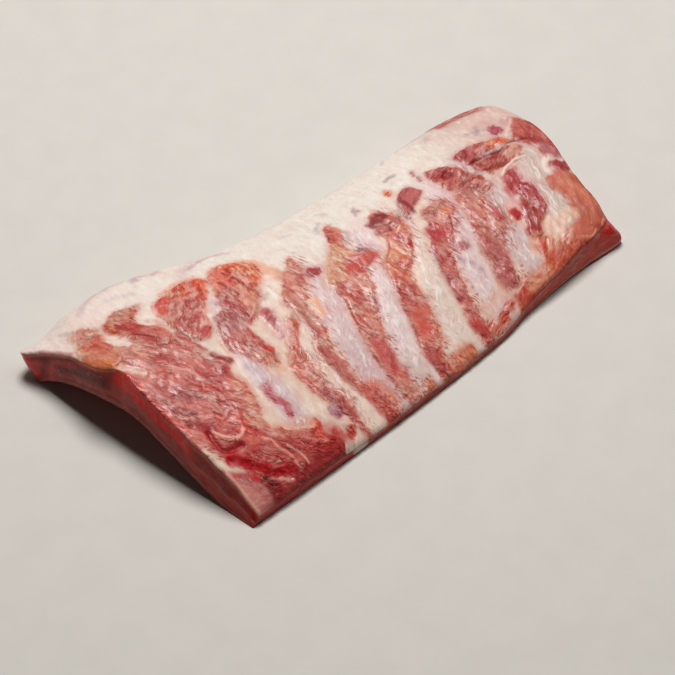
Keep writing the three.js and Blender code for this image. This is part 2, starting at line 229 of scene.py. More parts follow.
# Where the lean meat shows. A strip between two ribs has rows of (y, from x, to x), other pieces an outline.
# light is the meat's own colour, grain the direction of its fibres in degrees, rise its height in mm and
# soft how slowly it fades into the fat.
lean = {
    "sheet": {
        "outline": [(6, 131), (-3, 123), (-6, 110), (-7, 98), (-7, 84), (-7, 66), (-6, 52), (2, 42),
                    (12, 34), (16, 24), (21, 10), (23, -6), (55, -8), (79, -9), (84, -3), (89, 2), (86, 8),
                    (81, 14), (83, 20), (83, 24), (76, 21), (66, 25), (58, 30), (53, 36), (53, 43),
                    (57, 51), (61, 60), (62, 70), (60, 80), (64, 86), (69, 87), (64, 94), (60, 99),
                    (59, 110), (58, 124), (51, 128), (40, 128), (30, 130), (18, 131)],
        "light": tone(200, 111, 100), "grain": -64, "rise": 0.9, "swirl": 0.4, "soft": 0.3,
    },
    "cornerWedge": {
        "outline": [(3, 31), (8, 22), (14, 15), (21, 8), (22, -6), (6, -6), (2, 4), (1, 18)],
        "light": tone(198, 122, 114), "grain": -50, "rise": 0.3, "fibres": 0.3,
    },
    "betweenFlaps": {
        "outline": [(8, 124), (11, 134), (16, 141), (19, 146), (21, 138), (26, 138), (29, 146), (31, 154),
                    (38, 146), (48, 134), (50, 124), (30, 122)],
        "light": tone(196, 134, 122), "grain": -64, "rise": 0.5, "soft": 0.6,
    },
    "flapA": {
        "outline": [(-6, 150), (-3, 157), (-1, 163), (2, 167), (8, 169), (14, 170), (19, 168), (22, 165),
                    (20, 160), (18, 152), (18, 144), (16, 138), (12, 131), (8, 128), (3, 128), (0, 132),
                    (-4, 140)],
        "light": tone(196, 118, 96), "grain": 99, "rise": 1.2, "soft": 0.9, "fibres": 0.65,
    },
    "flapATop": {
        "outline": [(4, 168), (6, 177), (9, 183), (14, 186), (19, 185), (23, 182), (26, 177), (27, 170),
                    (23, 165), (16, 166), (9, 167)],
        "light": tone(206, 158, 140), "grain": 60, "rise": 0.5, "soft": 1.6, "fibres": 0.6,
    },
    "flapB": {
        "outline": [(27, 160), (28, 167), (30, 172), (35, 174), (40, 177), (46, 178), (53, 175), (60, 172),
                    (61, 169), (55, 165), (50, 161), (46, 157), (45, 152), (47, 146), (51, 142), (53, 136),
                    (52, 128), (50, 118), (40, 114), (34, 121), (33, 132), (31, 142), (28, 151)],
        "light": tone(196, 106, 90), "grain": 103, "rise": 1.2, "soft": 0.5,
    },
    "flapC": {
        "outline": [(57, 135), (58, 142), (60, 148), (64, 154), (67, 160), (71, 164), (80, 166), (90, 168),
                    (100, 168), (107, 165), (110, 159), (108, 154), (103, 149), (98, 144), (93, 139),
                    (88, 134), (84, 129), (81, 123), (79, 117), (76, 113), (71, 110), (65, 110), (60, 114),
                    (56, 124)],
        "light": tone(207, 141, 125), "grain": 46, "rise": 1.4, "soft": 0.7,
    },
    "flapD": {
        "outline": [(98, 108), (98, 120), (99, 130), (103, 141), (108, 150), (113, 158), (119, 162),
                    (128, 163), (136, 159), (142, 153), (145, 146), (145, 140), (140, 134), (134, 128),
                    (126, 121), (120, 115), (113, 109), (106, 104), (100, 103)],
        "light": tone(219, 143, 123), "grain": 76, "rise": 1.4, "soft": 0.8,
    },
    "flapE": {
        "outline": [(73, 100), (76, 108), (81, 115), (86, 120), (92, 123), (96, 122), (99, 116), (97, 106),
                    (96, 98), (97, 90), (98, 84), (98, 78), (95, 71), (90, 66), (84, 69), (80, 76),
                    (77, 84), (73, 92)],
        "light": tone(194, 118, 110), "grain": 85, "rise": 1.0, "soft": 0.4,
    },
    "veiledTip": {
        "outline": [(108, 109), (112, 111), (118, 106), (121, 101), (119, 94), (115, 88), (112, 82),
                    (108, 83), (109, 92), (109, 101)],
        "light": tone(212, 162, 156), "grain": 40, "rise": 0.2, "soft": 1.5, "fibres": 0.7,
    },
    "strip1Top": {
        "outline": [(98, 63), (102, 67), (107, 73), (112, 79), (116, 84), (120, 89), (124, 91), (126, 88),
                    (125, 83), (122, 79), (118, 74), (114, 69), (112, 64), (109, 58), (103, 57)],
        "light": tone(188, 88, 64), "grain": 52, "rise": 0.6, "soft": 0.5, "fibres": 0.6,
    },
    "strip1": {
        "rows": [(62, 95, 106), (55, 94, 109), (45, 95, 109), (35, 96, 108), (30, 98, 108), (25, 100, 109),
                 (18, 101, 109), (10, 103, 108), (2, 104, 108), (-12, 104, 109)],
        "light": tone(212, 128, 114), "grain": 92, "rise": 0.9,
    },
    "strip2": {
        "rows": [(131, 160, 166), (126, 157, 166), (122, 150, 165), (118, 146, 163), (112, 139, 161),
                 (106, 133, 158), (100, 130, 150), (95, 130, 145), (90, 129, 142), (85, 129, 140),
                 (75, 128, 139), (70, 127, 138), (65, 122, 135), (60, 119, 131), (50, 119, 129),
                 (40, 119, 128), (30, 119, 128), (20, 121, 133), (10, 124, 136), (0, 124, 137),
                 (-14, 124, 138)],
        "light": tone(206, 134, 118), "grain": 97, "rise": 0.9, "fibres": 0.9,
    },
    "strip3": {
        "rows": [(136, 202, 207), (130, 198, 207), (125, 195, 207), (120, 192, 206), (115, 188, 201),
                 (110, 182, 196), (105, 177, 196), (100, 172, 199), (97, 169, 206), (92, 166, 208),
                 (88, 165, 203), (85, 164, 193), (80, 163, 190), (75, 162, 188), (70, 160, 185),
                 (65, 158, 181), (60, 156, 178), (55, 154, 174), (50, 152, 171), (45, 150, 168),
                 (40, 149, 167), (35, 148, 164), (30, 147, 162), (25, 146, 158), (20, 145, 156),
                 (15, 145, 158), (10, 144, 157), (0, 145, 157), (-14, 145, 158)],
        "light": tone(204, 126, 110), "grain": 99, "rise": 1.1, "fibres": 0.85,
    },
    "strip4": {
        "rows": [(121, 231, 236), (117, 228, 239), (112, 225, 241), (106, 223, 242), (100, 222, 243),
                 (95, 222, 242), (90, 219, 240), (86, 213, 238), (82, 208, 234), (78, 204, 231),
                 (75, 202, 229), (70, 200, 222), (67, 199, 215), (62, 196, 213), (55, 193, 211),
                 (50, 191, 210), (45, 189, 211), (42, 188, 207), (38, 187, 205), (30, 184, 203),
                 (25, 181, 201), (20, 179, 198), (15, 177, 194), (10, 177, 191), (5, 177, 189),
                 (0, 177, 188), (-12, 176, 190)],
        "light": tone(204, 118, 100), "grain": 99, "rise": 1.1, "fibres": 0.85,
    },
    "bean5": {
        "outline": [(258, 117), (263, 122), (270, 123), (274, 118), (274, 112), (268, 108), (262, 106),
                    (252, 100), (248, 102), (252, 109)],
        "light": tone(178, 92, 92), "grain": 20, "rise": 1.5, "fibres": 0.7, "soft": 0.4,
    },
    "strip5": {
        "rows": [(98, 263, 274), (95, 259, 278), (91, 256, 281), (86, 255, 280), (82, 253, 277),
                 (78, 250, 271), (74, 244, 267), (70, 239, 262), (66, 238, 259), (61, 237, 252),
                 (56, 235, 248), (52, 233, 246), (47, 232, 243), (40, 229, 240), (30, 226, 236),
                 (20, 223, 233), (10, 220, 231), (3, 220, 230), (-12, 221, 230)],
        "light": tone(192, 102, 94), "grain": 96, "rise": 1.0, "fibres": 0.85,
    },
    "strip5Foot": {
        "outline": [(226, 9), (232, 9), (238, 5), (245, 7), (253, 10), (258, 12), (258, 8), (250, 4),
                    (243, 0), (232, 0), (226, 2)],
        "light": tone(204, 100, 78), "grain": 24, "rise": 0.5, "soft": 0.6,
    },
    "cap6": {
        "outline": [(290, 123), (296, 123), (303, 120), (309, 112), (311, 105), (305, 101), (297, 100),
                    (291, 97), (287, 101), (288, 111), (287, 117)],
        "light": tone(182, 90, 84), "grain": 13, "rise": 1.1,
    },
    "cap6Foot": {
        "outline": [(308, 105), (313, 99), (316, 91), (316, 84), (310, 80), (304, 83), (302, 90), (297, 92),
                    (291, 96), (296, 102)],
        "light": tone(184, 104, 92), "grain": 13, "rise": 0.7, "soft": 0.6,
    },
    "strip6": {
        "rows": [(93, 290, 302), (86, 286, 304), (80, 284, 304), (74, 282, 303), (70, 279, 302),
                 (65, 275, 301), (60, 273, 300), (55, 271, 298), (50, 270, 295), (45, 268, 288),
                 (40, 267, 284), (35, 266, 281), (30, 264, 278), (25, 262, 277), (20, 261, 275),
                 (16, 263, 271)],
        "light": tone(188, 110, 98), "grain": 88, "rise": 1.0, "fibres": 0.8,
    },
    "upperEnd": {
        "outline": [(316, 121), (324, 123), (332, 122), (339, 120), (345, 116), (353, 113), (354, 106),
                    (345, 107), (333, 109), (326, 108), (319, 107), (316, 112)],
        "light": tone(184, 100, 98), "grain": 24, "rise": 1.3,
    },
    "underFold": {
        "outline": [(319, 106), (329, 105), (340, 102), (348, 101), (353, 98), (357, 93), (350, 88),
                    (339, 89), (330, 89), (322, 92), (320, 98)],
        "light": tone(172, 88, 76), "grain": 18, "rise": 0.5, "soft": 0.4,
    },
    "rightBorder": {
        "outline": [(363, 108), (369, 114), (375, 120), (381, 118), (385, 109), (387, 99), (385, 88),
                    (381, 79), (376, 73), (367, 74), (364, 78), (366, 84), (365, 90), (361, 97),
                    (358, 102)],
        "light": tone(180, 88, 78), "grain": 70, "rise": 0.8, "soft": 0.5, "fibres": 0.5,
    },
    "spotEnd": {
        "outline": [(355, 124), (360, 125), (363, 120), (361, 116), (355, 115), (353, 119)],
        "light": tone(170, 78, 92), "grain": 45, "rise": 0.4, "soft": 0.3, "fibres": 0.5,
    },
    "ringed": {
        "outline": [(362, 71), (366, 70), (373, 67), (372, 61), (364, 57), (361, 62), (359, 67)],
        "light": tone(160, 54, 58), "grain": 45, "rise": 0.6, "fibres": 0.6,
    },
    "deepEnd": {
        "outline": [(329, 84), (335, 86), (340, 84), (337, 79), (334, 73), (337, 65), (335, 59), (333, 51),
                    (330, 48), (325, 54), (324, 64), (321, 70), (324, 77)],
        "light": tone(172, 66, 70), "grain": 62, "rise": 0.5, "soft": 0.5,
    },
    "mottled": {
        "outline": [(328, 60), (332, 54), (331, 46), (324, 40), (317, 38), (311, 31), (304, 32), (304, 38),
                    (309, 44), (311, 50), (316, 57), (321, 60)],
        "light": tone(172, 82, 72), "grain": 62, "rise": 0.9, "soft": 0.5,
    },
    "crimsonBead": {
        "outline": [(309, 60), (312, 59), (313, 54), (310, 50), (305, 50), (303, 54)],
        "light": tone(172, 32, 38), "grain": 62, "rise": 1.1, "fibres": 0.4,
    },
    "orangeFoot": {
        "outline": [(262, 9), (268, 13), (276, 15), (284, 14), (292, 14), (298, 18), (301, 26), (306, 32),
                    (311, 31), (314, 26), (320, 21), (332, 21), (342, 24), (352, 20), (362, 14), (364, -6),
                    (310, -4), (262, -6)],
        "light": tone(192, 88, 60), "grain": 45, "rise": 0.7, "soft": 0.7, "fibres": 0.6,
    },
    "smoothEnd": {
        "outline": [(351, 62), (358, 63), (365, 59), (372, 49), (373, 36), (371, 20), (367, 6), (350, 4),
                    (336, 8), (328, 13), (332, 19), (339, 25), (341, 30), (345, 39), (347, 45), (345, 53),
                    (346, 58)],
        "light": tone(178, 92, 70), "grain": 72, "rise": 1.0, "fibres": 0.25, "soft": 0.6,
    },
    "farCorner": {
        "outline": [(336, 175), (338, 157), (343, 153), (352, 154), (361, 152), (368, 149), (374, 148),
                    (382, 154), (372, 170), (350, 178)],
        "light": tone(182, 104, 94), "grain": -24, "rise": 0.4, "soft": 0.5, "fibres": 0.7,
    },
}

# Pale fat and membrane lying over the meat: line, width in mm and colour.
paleMarks = [
    mark([(22, 160), (23, 152), (25, 144)], 6, (232, 214, 198)),
    mark([(50, 154), (56, 158), (62, 161)], 7, (230, 212, 196)),
    mark([(4, 48), (6, 38), (9, 31), (13, 25)], 4, (228, 208, 184)),
    mark([(3, 128), (7, 120), (12, 113)], 5, (224, 192, 170)),
    mark([(308, 84), (316, 89), (323, 91), (334, 88), (345, 89), (356, 92)], 2.6, (226, 196, 178)),
    mark([(356, 62), (355, 68), (360, 74), (367, 75), (371, 69)], 3, (236, 218, 206)),
    mark([(250, 124), (257, 122), (262, 124)], 2.0, (228, 206, 186)),
]

# Stains that colour what they lie on, and a few lines of painted shadow: line, width, colour, how strongly,
# and how soft the edge is.
stainsAndShades = [
    # the meat sheet at the cut end
    stainAndShade([(22, 54), (36, 30), (62, 12), (86, 8)], 20, (178, 46, 42), 0.55, 8),
    stainAndShade([(2, 118), (1, 100), (0, 84), (0, 66)], 5, (204, 46, 40), 0.8, 4),
    # the dark red gash under the ring fold: partly the meat's own red, partly painted shadow
    stainAndShade([(14, 57), (13, 47), (15, 39), (27, 36)], 4.5, (158, 16, 24), 1, 2.2, smooth=0.6),
    stainAndShade([(14, 32), (23, 23), (31, 15), (44, 7)], 8, (172, 10, 20), 1, 3, smooth=0.5),
    stainAndShade([(9, 24), (20, 15)], 4, (204, 36, 48), 1, 2.2, smooth=0.6),
    stainAndShade([(25, 11), (26, 4), (22, -4)], 8, (124, 10, 14), 0.85, 3),
    stainAndShade([(30, -2), (50, -2), (70, 0), (80, -2)], 13, (142, 18, 26), 0.85, 5, smooth=0.4),
    stainAndShade([(91, 0), (88, -3), (86, -7)], 3, (196, 176, 160), 0.85, 1.8),
    stainAndShade([(66, 12), (74, 8), (88, 8)], 8, (172, 42, 40), 0.75, 4),
    stainAndShade([(42, 92), (48, 87), (57, 83)], 8, (180, 62, 66), 0.75, 4),
    stainAndShade([(54, 104), (56, 96), (55, 89)], 6, (208, 172, 160), 0.75, 3),
    stainAndShade([(61, 98), (64, 92), (68, 88)], 4, (146, 46, 46), 0.9, 2),
    stainAndShade([(58, 112), (60, 104)], 3, (160, 60, 62), 0.7, 2),
    stainAndShade([(48, 78), (43, 68), (40, 57)], 8, (190, 84, 80), 0.65, 5),
    stainAndShade([(40, 50), (38, 42), (37, 34)], 8, (206, 84, 70), 0.75, 4),
    stainAndShade([(8, 97), (15, 91), (25, 84)], 13, (166, 88, 88), 0.55, 6),
    stainAndShade([(19, 86), (31, 74)], 3, (146, 58, 60), 0.6, 2),
    stainAndShade([(8, 80), (18, 70)], 4, (140, 46, 50), 0.65, 2.5),
    stainAndShade([(10, 66), (14, 60), (18, 56)], 7, (152, 20, 26), 0.85, 3),
    stainAndShade([(3, 72), (3, 58), (2, 49)], 4, (210, 108, 96), 0.75, 3),
    stainAndShade([(79, 20), (77, 11)], 8, (204, 70, 54), 0.85, 3),
    stainAndShade([(60, 72), (57, 62), (51, 52), (47, 44)], 9, (218, 150, 128), 0.7, 5),
    stainAndShade([(52, 18), (56, 14)], 4, (150, 44, 42), 0.6, 2),
    stainAndShade([(54, 32), (66, 27), (76, 24)], 8, (218, 156, 128), 0.7, 4),
    stainAndShade([(20, 116), (25, 110)], 2, (134, 58, 58), 0.6, 1.5),
    stainAndShade([(32, 116), (33, 114)], 3.5, (188, 54, 66), 0.9, 1.5),
    stainAndShade([(19, 132), (20, 126)], 2, (130, 64, 60), 0.5, 2),
    stainAndShade([(35, 124), (46, 118), (56, 120)], 8, (176, 104, 98), 0.5, 5),
    stainAndShade([(88, 12), (90, 10)], 4, (200, 74, 64), 0.9, 2),
    stainAndShade([(3, 27), (5, 14), (5, 0)], 3, (216, 160, 146), 0.8, 2.5),
    stainAndShade([(13, 21), (17, 10), (18, -2)], 4, (176, 84, 84), 0.7, 3),
    stainAndShade([(8, 26), (12, 16)], 2.4, (176, 112, 108), 0.6, 2.5),
    stainAndShade([(-10, 204), (-7, 192), (-5, 180), (-3, 168)], 3, (176, 104, 96), 0.8, 2.5),
    # flaps along the fat
    stainAndShade([(-5, 150), (-3, 141), (2, 132)], 6, (200, 104, 56), 0.9, 3),
    stainAndShade([(7, 163), (12, 159), (18, 163)], 8, (196, 92, 78), 0.75, 3),
    stainAndShade([(9, 157), (9, 146)], 5, (192, 88, 72), 0.6, 3),
    stainAndShade([(2, 166), (0, 158)], 5, (224, 176, 148), 0.7, 3),
    stainAndShade([(14, 135), (16, 144)], 4, (208, 142, 120), 0.6, 3),
    stainAndShade([(9, 170), (17, 168)], 2.5, (150, 96, 84), 0.55, 2),
    stainAndShade([(18, 182), (22, 174)], 3, (178, 112, 98), 0.55, 2.5),
    stainAndShade([(28, 159), (29, 168), (33, 172)], 4, (190, 92, 62), 0.8, 2.5),
    stainAndShade([(37, 171), (45, 172), (52, 170)], 8, (192, 126, 102), 0.8, 4),
    stainAndShade([(55, 171), (60, 171)], 4, (204, 164, 146), 0.85, 3),
    stainAndShade([(35, 158), (36, 144), (38, 130)], 7, (176, 66, 62), 0.8, 3),
    stainAndShade([(44, 142), (46, 128)], 6, (192, 106, 98), 0.7, 4),
    stainAndShade([(52, 150), (55, 141), (55, 134)], 4, (210, 164, 150), 0.8, 2.5),
    stainAndShade([(64, 149), (69, 157), (77, 158)], 9, (204, 76, 70), 0.85, 3),
    stainAndShade([(88, 158), (98, 160), (105, 157), (98, 151)], 10, (214, 92, 62), 0.9, 4),
    stainAndShade([(82, 161), (87, 157)], 4, (212, 142, 116), 0.75, 2),
    stainAndShade([(80, 168), (95, 170), (108, 166)], 4, (228, 166, 134), 0.75, 3),
    stainAndShade([(92, 142), (100, 147)], 7, (214, 112, 88), 0.75, 3),
    stainAndShade([(84, 131), (91, 137)], 5, (214, 152, 132), 0.75, 3),
    stainAndShade([(68, 113), (73, 117)], 5, (184, 60, 64), 0.9, 2),
    stainAndShade([(66, 142), (76, 152)], 2.5, (150, 62, 60), 0.6, 2),
    stainAndShade([(62, 126), (72, 136), (84, 142)], 12, (178, 98, 96), 0.6, 5),
    stainAndShade([(104, 110), (102, 122), (106, 134)], 12, (178, 106, 106), 0.75, 4),
    stainAndShade([(117, 142), (121, 155)], 10, (204, 78, 62), 0.7, 4),
    stainAndShade([(113, 146), (114, 128)], 2.6, (152, 42, 44), 0.75, 1.5),
    stainAndShade([(123, 153), (124, 138), (122, 126)], 2.6, (170, 38, 36), 0.75, 1.5),
    stainAndShade([(128, 146), (131, 138)], 2.2, (164, 48, 38), 0.65, 1.5),
    stainAndShade([(131, 157), (140, 150), (142, 140), (135, 133)], 9, (220, 122, 88), 0.9, 5),
    stainAndShade([(127, 125), (118, 116), (108, 107)], 7, (194, 134, 112), 0.7, 3),
    stainAndShade([(145, 146), (147, 134), (146, 124)], 8, (228, 174, 144), 0.85, 6),
    stainAndShade([(118, 162), (130, 163)], 4, (220, 142, 116), 0.7, 3),
    stainAndShade([(84, 106), (88, 115), (93, 110)], 12, (176, 112, 112), 0.8, 4),
    stainAndShade([(93, 98), (92, 86)], 4.5, (188, 66, 62), 0.8, 3),
    stainAndShade([(93, 81), (96, 79)], 4, (206, 58, 40), 0.95, 1.5),
    stainAndShade([(83, 77), (90, 72)], 8, (206, 130, 108), 0.7, 4),
    stainAndShade([(85, 66), (93, 64)], 8, (222, 172, 148), 0.7, 5),
    stainAndShade([(113, 97), (117, 105)], 4.5, (184, 82, 90), 0.85, 2),
    stainAndShade([(110, 84), (113, 92)], 6, (196, 138, 142), 0.6, 3),
    # strips between the ribs
    stainAndShade([(149, 92), (147, 86), (144, 78)], 3, (222, 148, 90), 0.8, 2.5),
    stainAndShade([(151, 84), (148, 76)], 2, (196, 112, 92), 0.6, 2.5),
    stainAndShade([(101, 34), (105, 26), (106, 12)], 7, (176, 66, 66), 0.75, 3),
    stainAndShade([(97, 23), (98, 18)], 5, (176, 110, 124), 0.8, 3),
    stainAndShade([(152, 120), (158, 112)], 12, (186, 104, 98), 0.5, 5),
    stainAndShade([(135, 98), (134, 76)], 10, (184, 120, 106), 0.7, 4),
    stainAndShade([(124, 58), (124, 34)], 7, (182, 80, 80), 0.7, 4, smooth=0.4),
    stainAndShade([(127, 20), (129, -4)], 9, (192, 70, 64), 0.8, 4),
    stainAndShade([(134, 20), (137, 4)], 6, (212, 116, 90), 0.8, 4),
    stainAndShade([(204, 132), (197, 119)], 7, (190, 104, 90), 0.7, 3),
    stainAndShade([(190, 111), (180, 102), (172, 93)], 13, (208, 154, 122), 0.8, 6),
    stainAndShade([(186, 93), (196, 92), (205, 91)], 8, (190, 62, 54), 0.9, 4, smooth=0.5),
    stainAndShade([(202, 101), (206, 97)], 3, (124, 36, 46), 0.85, 1.5),
    stainAndShade([(178, 80), (168, 68)], 14, (208, 136, 116), 0.6, 6),
    stainAndShade([(163, 69), (170, 68)], 2.4, (146, 52, 44), 0.7, 1.5),
    stainAndShade([(178, 68), (179, 59)], 2.4, (150, 76, 84), 0.75, 1.5),
    stainAndShade([(157, 38), (154, 20)], 9, (186, 62, 60), 0.85, 5, smooth=0.5),
    stainAndShade([(156, 12), (160, 16)], 4, (182, 62, 58), 0.7, 3),
    stainAndShade([(226, 112), (236, 113)], 8, (134, 50, 58), 0.9, 3),
    stainAndShade([(225, 104), (240, 103)], 7, (164, 94, 94), 0.7, 4),
    stainAndShade([(229, 87), (231, 83)], 6, (178, 42, 42), 0.85, 3),
    stainAndShade([(208, 80), (222, 84)], 10, (208, 138, 106), 0.8, 5),
    stainAndShade([(204, 66), (212, 70), (220, 74)], 8, (196, 90, 72), 0.7, 4),
    stainAndShade([(201, 54), (198, 42)], 13, (184, 88, 82), 0.6, 5),
    stainAndShade([(190, 26), (197, 38)], 9, (200, 74, 60), 0.8, 4, smooth=0.4),
    stainAndShade([(183, 14), (181, 4)], 9, (170, 64, 62), 0.75, 4),
    stainAndShade([(192, 1), (206, 3)], 8, (212, 124, 94), 0.85, 4),
    stainAndShade([(256, 102), (257, 116)], 3, (126, 40, 42), 0.85, 2),
    stainAndShade([(262, 93), (273, 93)], 9, (180, 116, 102), 0.8, 4),
    stainAndShade([(263, 82), (272, 86)], 6, (216, 126, 94), 0.85, 3),
    stainAndShade([(251, 80), (256, 73)], 9, (180, 44, 46), 0.85, 4, smooth=0.5),
    stainAndShade([(234, 48), (231, 34)], 7, (184, 94, 92), 0.6, 4),
    stainAndShade([(224, 13), (226, 5)], 7, (180, 58, 54), 0.8, 3),
    stainAndShade([(238, 14), (250, 18), (262, 20)], 7, (218, 168, 146), 0.7, 5),
    stainAndShade([(292, 88), (287, 66)], 14, (204, 134, 120), 0.7, 6),
    stainAndShade([(299, 67), (298, 58)], 4, (190, 70, 78), 0.8, 2.5),
    stainAndShade([(274, 47), (275, 36)], 12, (178, 80, 80), 0.7, 5),
    stainAndShade([(268, 29), (267, 20)], 10, (168, 62, 64), 0.8, 4),
    stainAndShade([(300, 90), (311, 90)], 8, (180, 92, 86), 0.7, 4),
    stainAndShade([(297, 112), (301, 110)], 6, (138, 26, 30), 0.9, 3),
    # rounded end
    stainAndShade([(343, 112), (348, 110), (353, 107)], 6, (210, 108, 66), 0.95, 2.5),
    # dark red lines under the flap's edge: partly the meat's own red, partly painted shadow
    stainAndShade([(319, 107.5), (327, 107.5), (336, 106), (346, 103)], 2, (124, 18, 14), 0.95, 1.8),
    stainAndShade([(336, 104), (346, 101.5)], 3, (120, 16, 12), 0.9, 2.5),
    stainAndShade([(353, 104), (361, 100), (371, 95)], 1.2, (120, 40, 34), 0.8, 1.5),
    stainAndShade([(325, 120), (323, 115), (319, 114)], 3, (150, 40, 50), 0.8, 2.5),
    stainAndShade([(320, 100), (330, 99), (340, 99)], 6, (172, 80, 74), 0.6, 3),
    stainAndShade([(346, 97), (352, 97)], 7, (208, 148, 128), 0.85, 3),
    stainAndShade([(369, 95), (370, 88), (368, 82)], 7, (158, 54, 54), 0.8, 4),
    stainAndShade([(383, 110), (385, 98), (380, 82)], 5, (152, 58, 50), 0.7, 4),
    stainAndShade([(325, 5), (340, 1), (356, 3), (365, 9)], 8, (152, 56, 56), 0.8, 4),
    stainAndShade([(366, 122), (372, 124)], 6, (192, 146, 142), 0.7, 3),
    stainAndShade([(369, 84), (371, 74)], 7, (172, 104, 110), 0.7, 4),
    stainAndShade([(306, 37), (313, 38)], 7, (158, 42, 44), 0.85, 3),
    stainAndShade([(322, 48), (320, 43)], 5, (164, 56, 54), 0.8, 3),
    stainAndShade([(316, 47), (319, 56), (322, 61)], 3, (156, 46, 44), 0.75, 2),
    stainAndShade([(322, 70), (329, 80)], 8, (178, 56, 60), 0.7, 3),
    stainAndShade([(307, 63), (310, 62)], 5, (222, 162, 148), 0.7, 3),
    stainAndShade([(306, 34), (300, 30), (296, 24)], 4, (222, 160, 124), 0.6, 3),
    stainAndShade([(282, 6), (296, 5), (306, 4)], 4, (214, 116, 84), 0.6, 3),
    stainAndShade([(310, 26), (318, 22), (326, 26)], 3, (230, 190, 156), 0.6, 3),
    stainAndShade([(356, 48), (358, 26)], 10, (196, 106, 82), 0.6, 6),
    stainAndShade([(350, 58), (358, 60)], 6, (196, 100, 90), 0.7, 4),
    stainAndShade([(352, 50), (358, 42), (358, 32)], 9, (204, 116, 92), 0.7, 5),
    stainAndShade([(370, 44), (371, 28), (366, 12)], 7, (158, 60, 50), 0.8, 5),
    stainAndShade([(362, 50), (352, 34), (346, 18)], 1.4, (160, 72, 56), 0.6, 2),
    stainAndShade([(366, 38), (358, 26), (352, 14)], 1.4, (160, 70, 56), 0.6, 2),
    stainAndShade([(340, 22), (344, 14), (352, 8)], 5, (164, 62, 46), 0.7, 4),
    stainAndShade([(266, 9), (270, 5)], 8, (184, 62, 52), 0.85, 4),
    stainAndShade([(278, 10), (292, 9)], 8, (208, 136, 108), 0.75, 4),
    stainAndShade([(303, 24), (306, 12)], 7, (192, 78, 58), 0.8, 4),
    stainAndShade([(318, 15), (330, 17), (342, 16)], 8, (198, 106, 90), 0.6, 5),
    stainAndShade([(272, 1), (300, 2), (322, 6), (350, 7)], 5, (150, 48, 42), 0.75, 3),
    stainAndShade([(322, 34), (330, 30), (338, 30)], 9, (224, 182, 156), 0.7, 5),
    stainAndShade([(303, 50), (303, 58), (309, 63), (317, 60)], 3, (226, 168, 148), 0.6, 3),
    stainAndShade([(316, 70), (317, 62), (313, 46)], 3, (204, 132, 138), 0.6, 3),
    stainAndShade([(339, 84), (338, 74), (340, 62)], 3, (206, 140, 142), 0.55, 3),
    stainAndShade([(334, 158), (346, 154), (360, 151), (372, 146)], 2, (150, 62, 60), 0.5, 2.5),
    stainAndShade([(352, 140), (364, 138), (372, 134)], 5, (224, 184, 172), 0.5, 5),
    # marks in the fat and membrane
    stainAndShade([(103, 174), (118, 182), (130, 192), (142, 197)], 5, (204, 170, 170), 0.45, 6),
    stainAndShade([(80, 196), (88, 205), (97, 212)], 6, (194, 154, 166), 0.7, 4),
    stainAndShade([(62, 206), (72, 212)], 3, (200, 164, 172), 0.6, 3),
    stainAndShade([(92, 190), (104, 196), (116, 199)], 2, (198, 162, 172), 0.6, 2.5),
    stainAndShade([(30, 196), (44, 205), (56, 210)], 4, (204, 172, 178), 0.6, 3),
    stainAndShade([(10, 192), (14, 187)], 2.5, (176, 156, 148), 0.5, 3),
    stainAndShade([(75, 188), (77, 198)], 1.5, (178, 160, 156), 0.4, 2.5),
    stainAndShade([(114, 177), (127, 180), (138, 178), (145, 171)], 2.5, (190, 146, 160), 0.65, 2.5),
    stainAndShade([(56, 209), (67, 207), (77, 201), (87, 196), (98, 190)], 1.6, (200, 156, 162), 0.6, 2.5),
    # a grey patch of painted shade on the fat
    stainAndShade([(52, 193), (60, 189), (68, 184)], 3, (200, 180, 182), 0.45, 3),
    stainAndShade([(176, 153), (180, 152), (184, 150)], 1, (176, 160, 160), 0.35, 2.5),
    stainAndShade([(211, 153), (215, 148)], 1, (164, 148, 150), 0.35, 2.5),
    stainAndShade([(226, 128), (229, 132), (231, 136)], 1.4, (150, 128, 134), 0.6, 2),
    stainAndShade([(267, 140), (271, 141), (276, 140)], 2.2, (150, 116, 116), 0.75, 2.5),
    stainAndShade([(283, 158), (287, 162)], 1.4, (168, 142, 142), 0.5, 2.5),
    stainAndShade([(196, 135), (198, 139), (204, 143)], 2, (164, 142, 148), 0.6, 3),
    stainAndShade([(200, 112), (206, 116), (208, 122)], 2.4, (168, 150, 150), 0.6, 3),
    stainAndShade([(204, 104), (208, 110)], 1.6, (172, 158, 160), 0.5, 2.5),
    stainAndShade([(346, 127), (350, 130), (352, 134)], 2.6, (160, 132, 140), 0.65, 2.5),
    stainAndShade([(124, 113), (128, 116)], 2, (158, 148, 148), 0.6, 2.5),
    stainAndShade([(318, 151), (326, 154)], 3, (178, 142, 134), 0.4, 4),
    stainAndShade([(323, 164), (332, 170)], 5, (196, 156, 138), 0.5, 5),
    stainAndShade([(71, 58), (69, 50), (72, 43), (70, 35)], 3.6, (180, 74, 86), 0.9, 2.2),
    stainAndShade([(68, 60), (75, 60)], 3, (196, 110, 112), 0.75, 2.5),
    stainAndShade([(72, 62), (74, 72), (73, 78)], 4, (186, 164, 168), 0.55, 4),
    stainAndShade([(250, 52), (254, 45), (257, 38)], 3, (166, 116, 128), 0.6, 3),
    stainAndShade([(111, 20), (116, 20), (114, 17)], 1.6, (176, 84, 78), 0.75, 1.5),
    stainAndShade([(194, 85), (197, 83)], 3, (214, 212, 190), 0.5, 3),
    stainAndShade([(168, 20), (166, 6)], 10, (206, 176, 160), 0.6, 6),
    stainAndShade([(254, 115), (249, 107), (247, 100)], 1.4, (130, 52, 52), 0.7, 2),
    stainAndShade([(305, 166), (316, 165), (327, 163), (338, 161)], 1.6, (196, 128, 122), 0.7, 2.5),
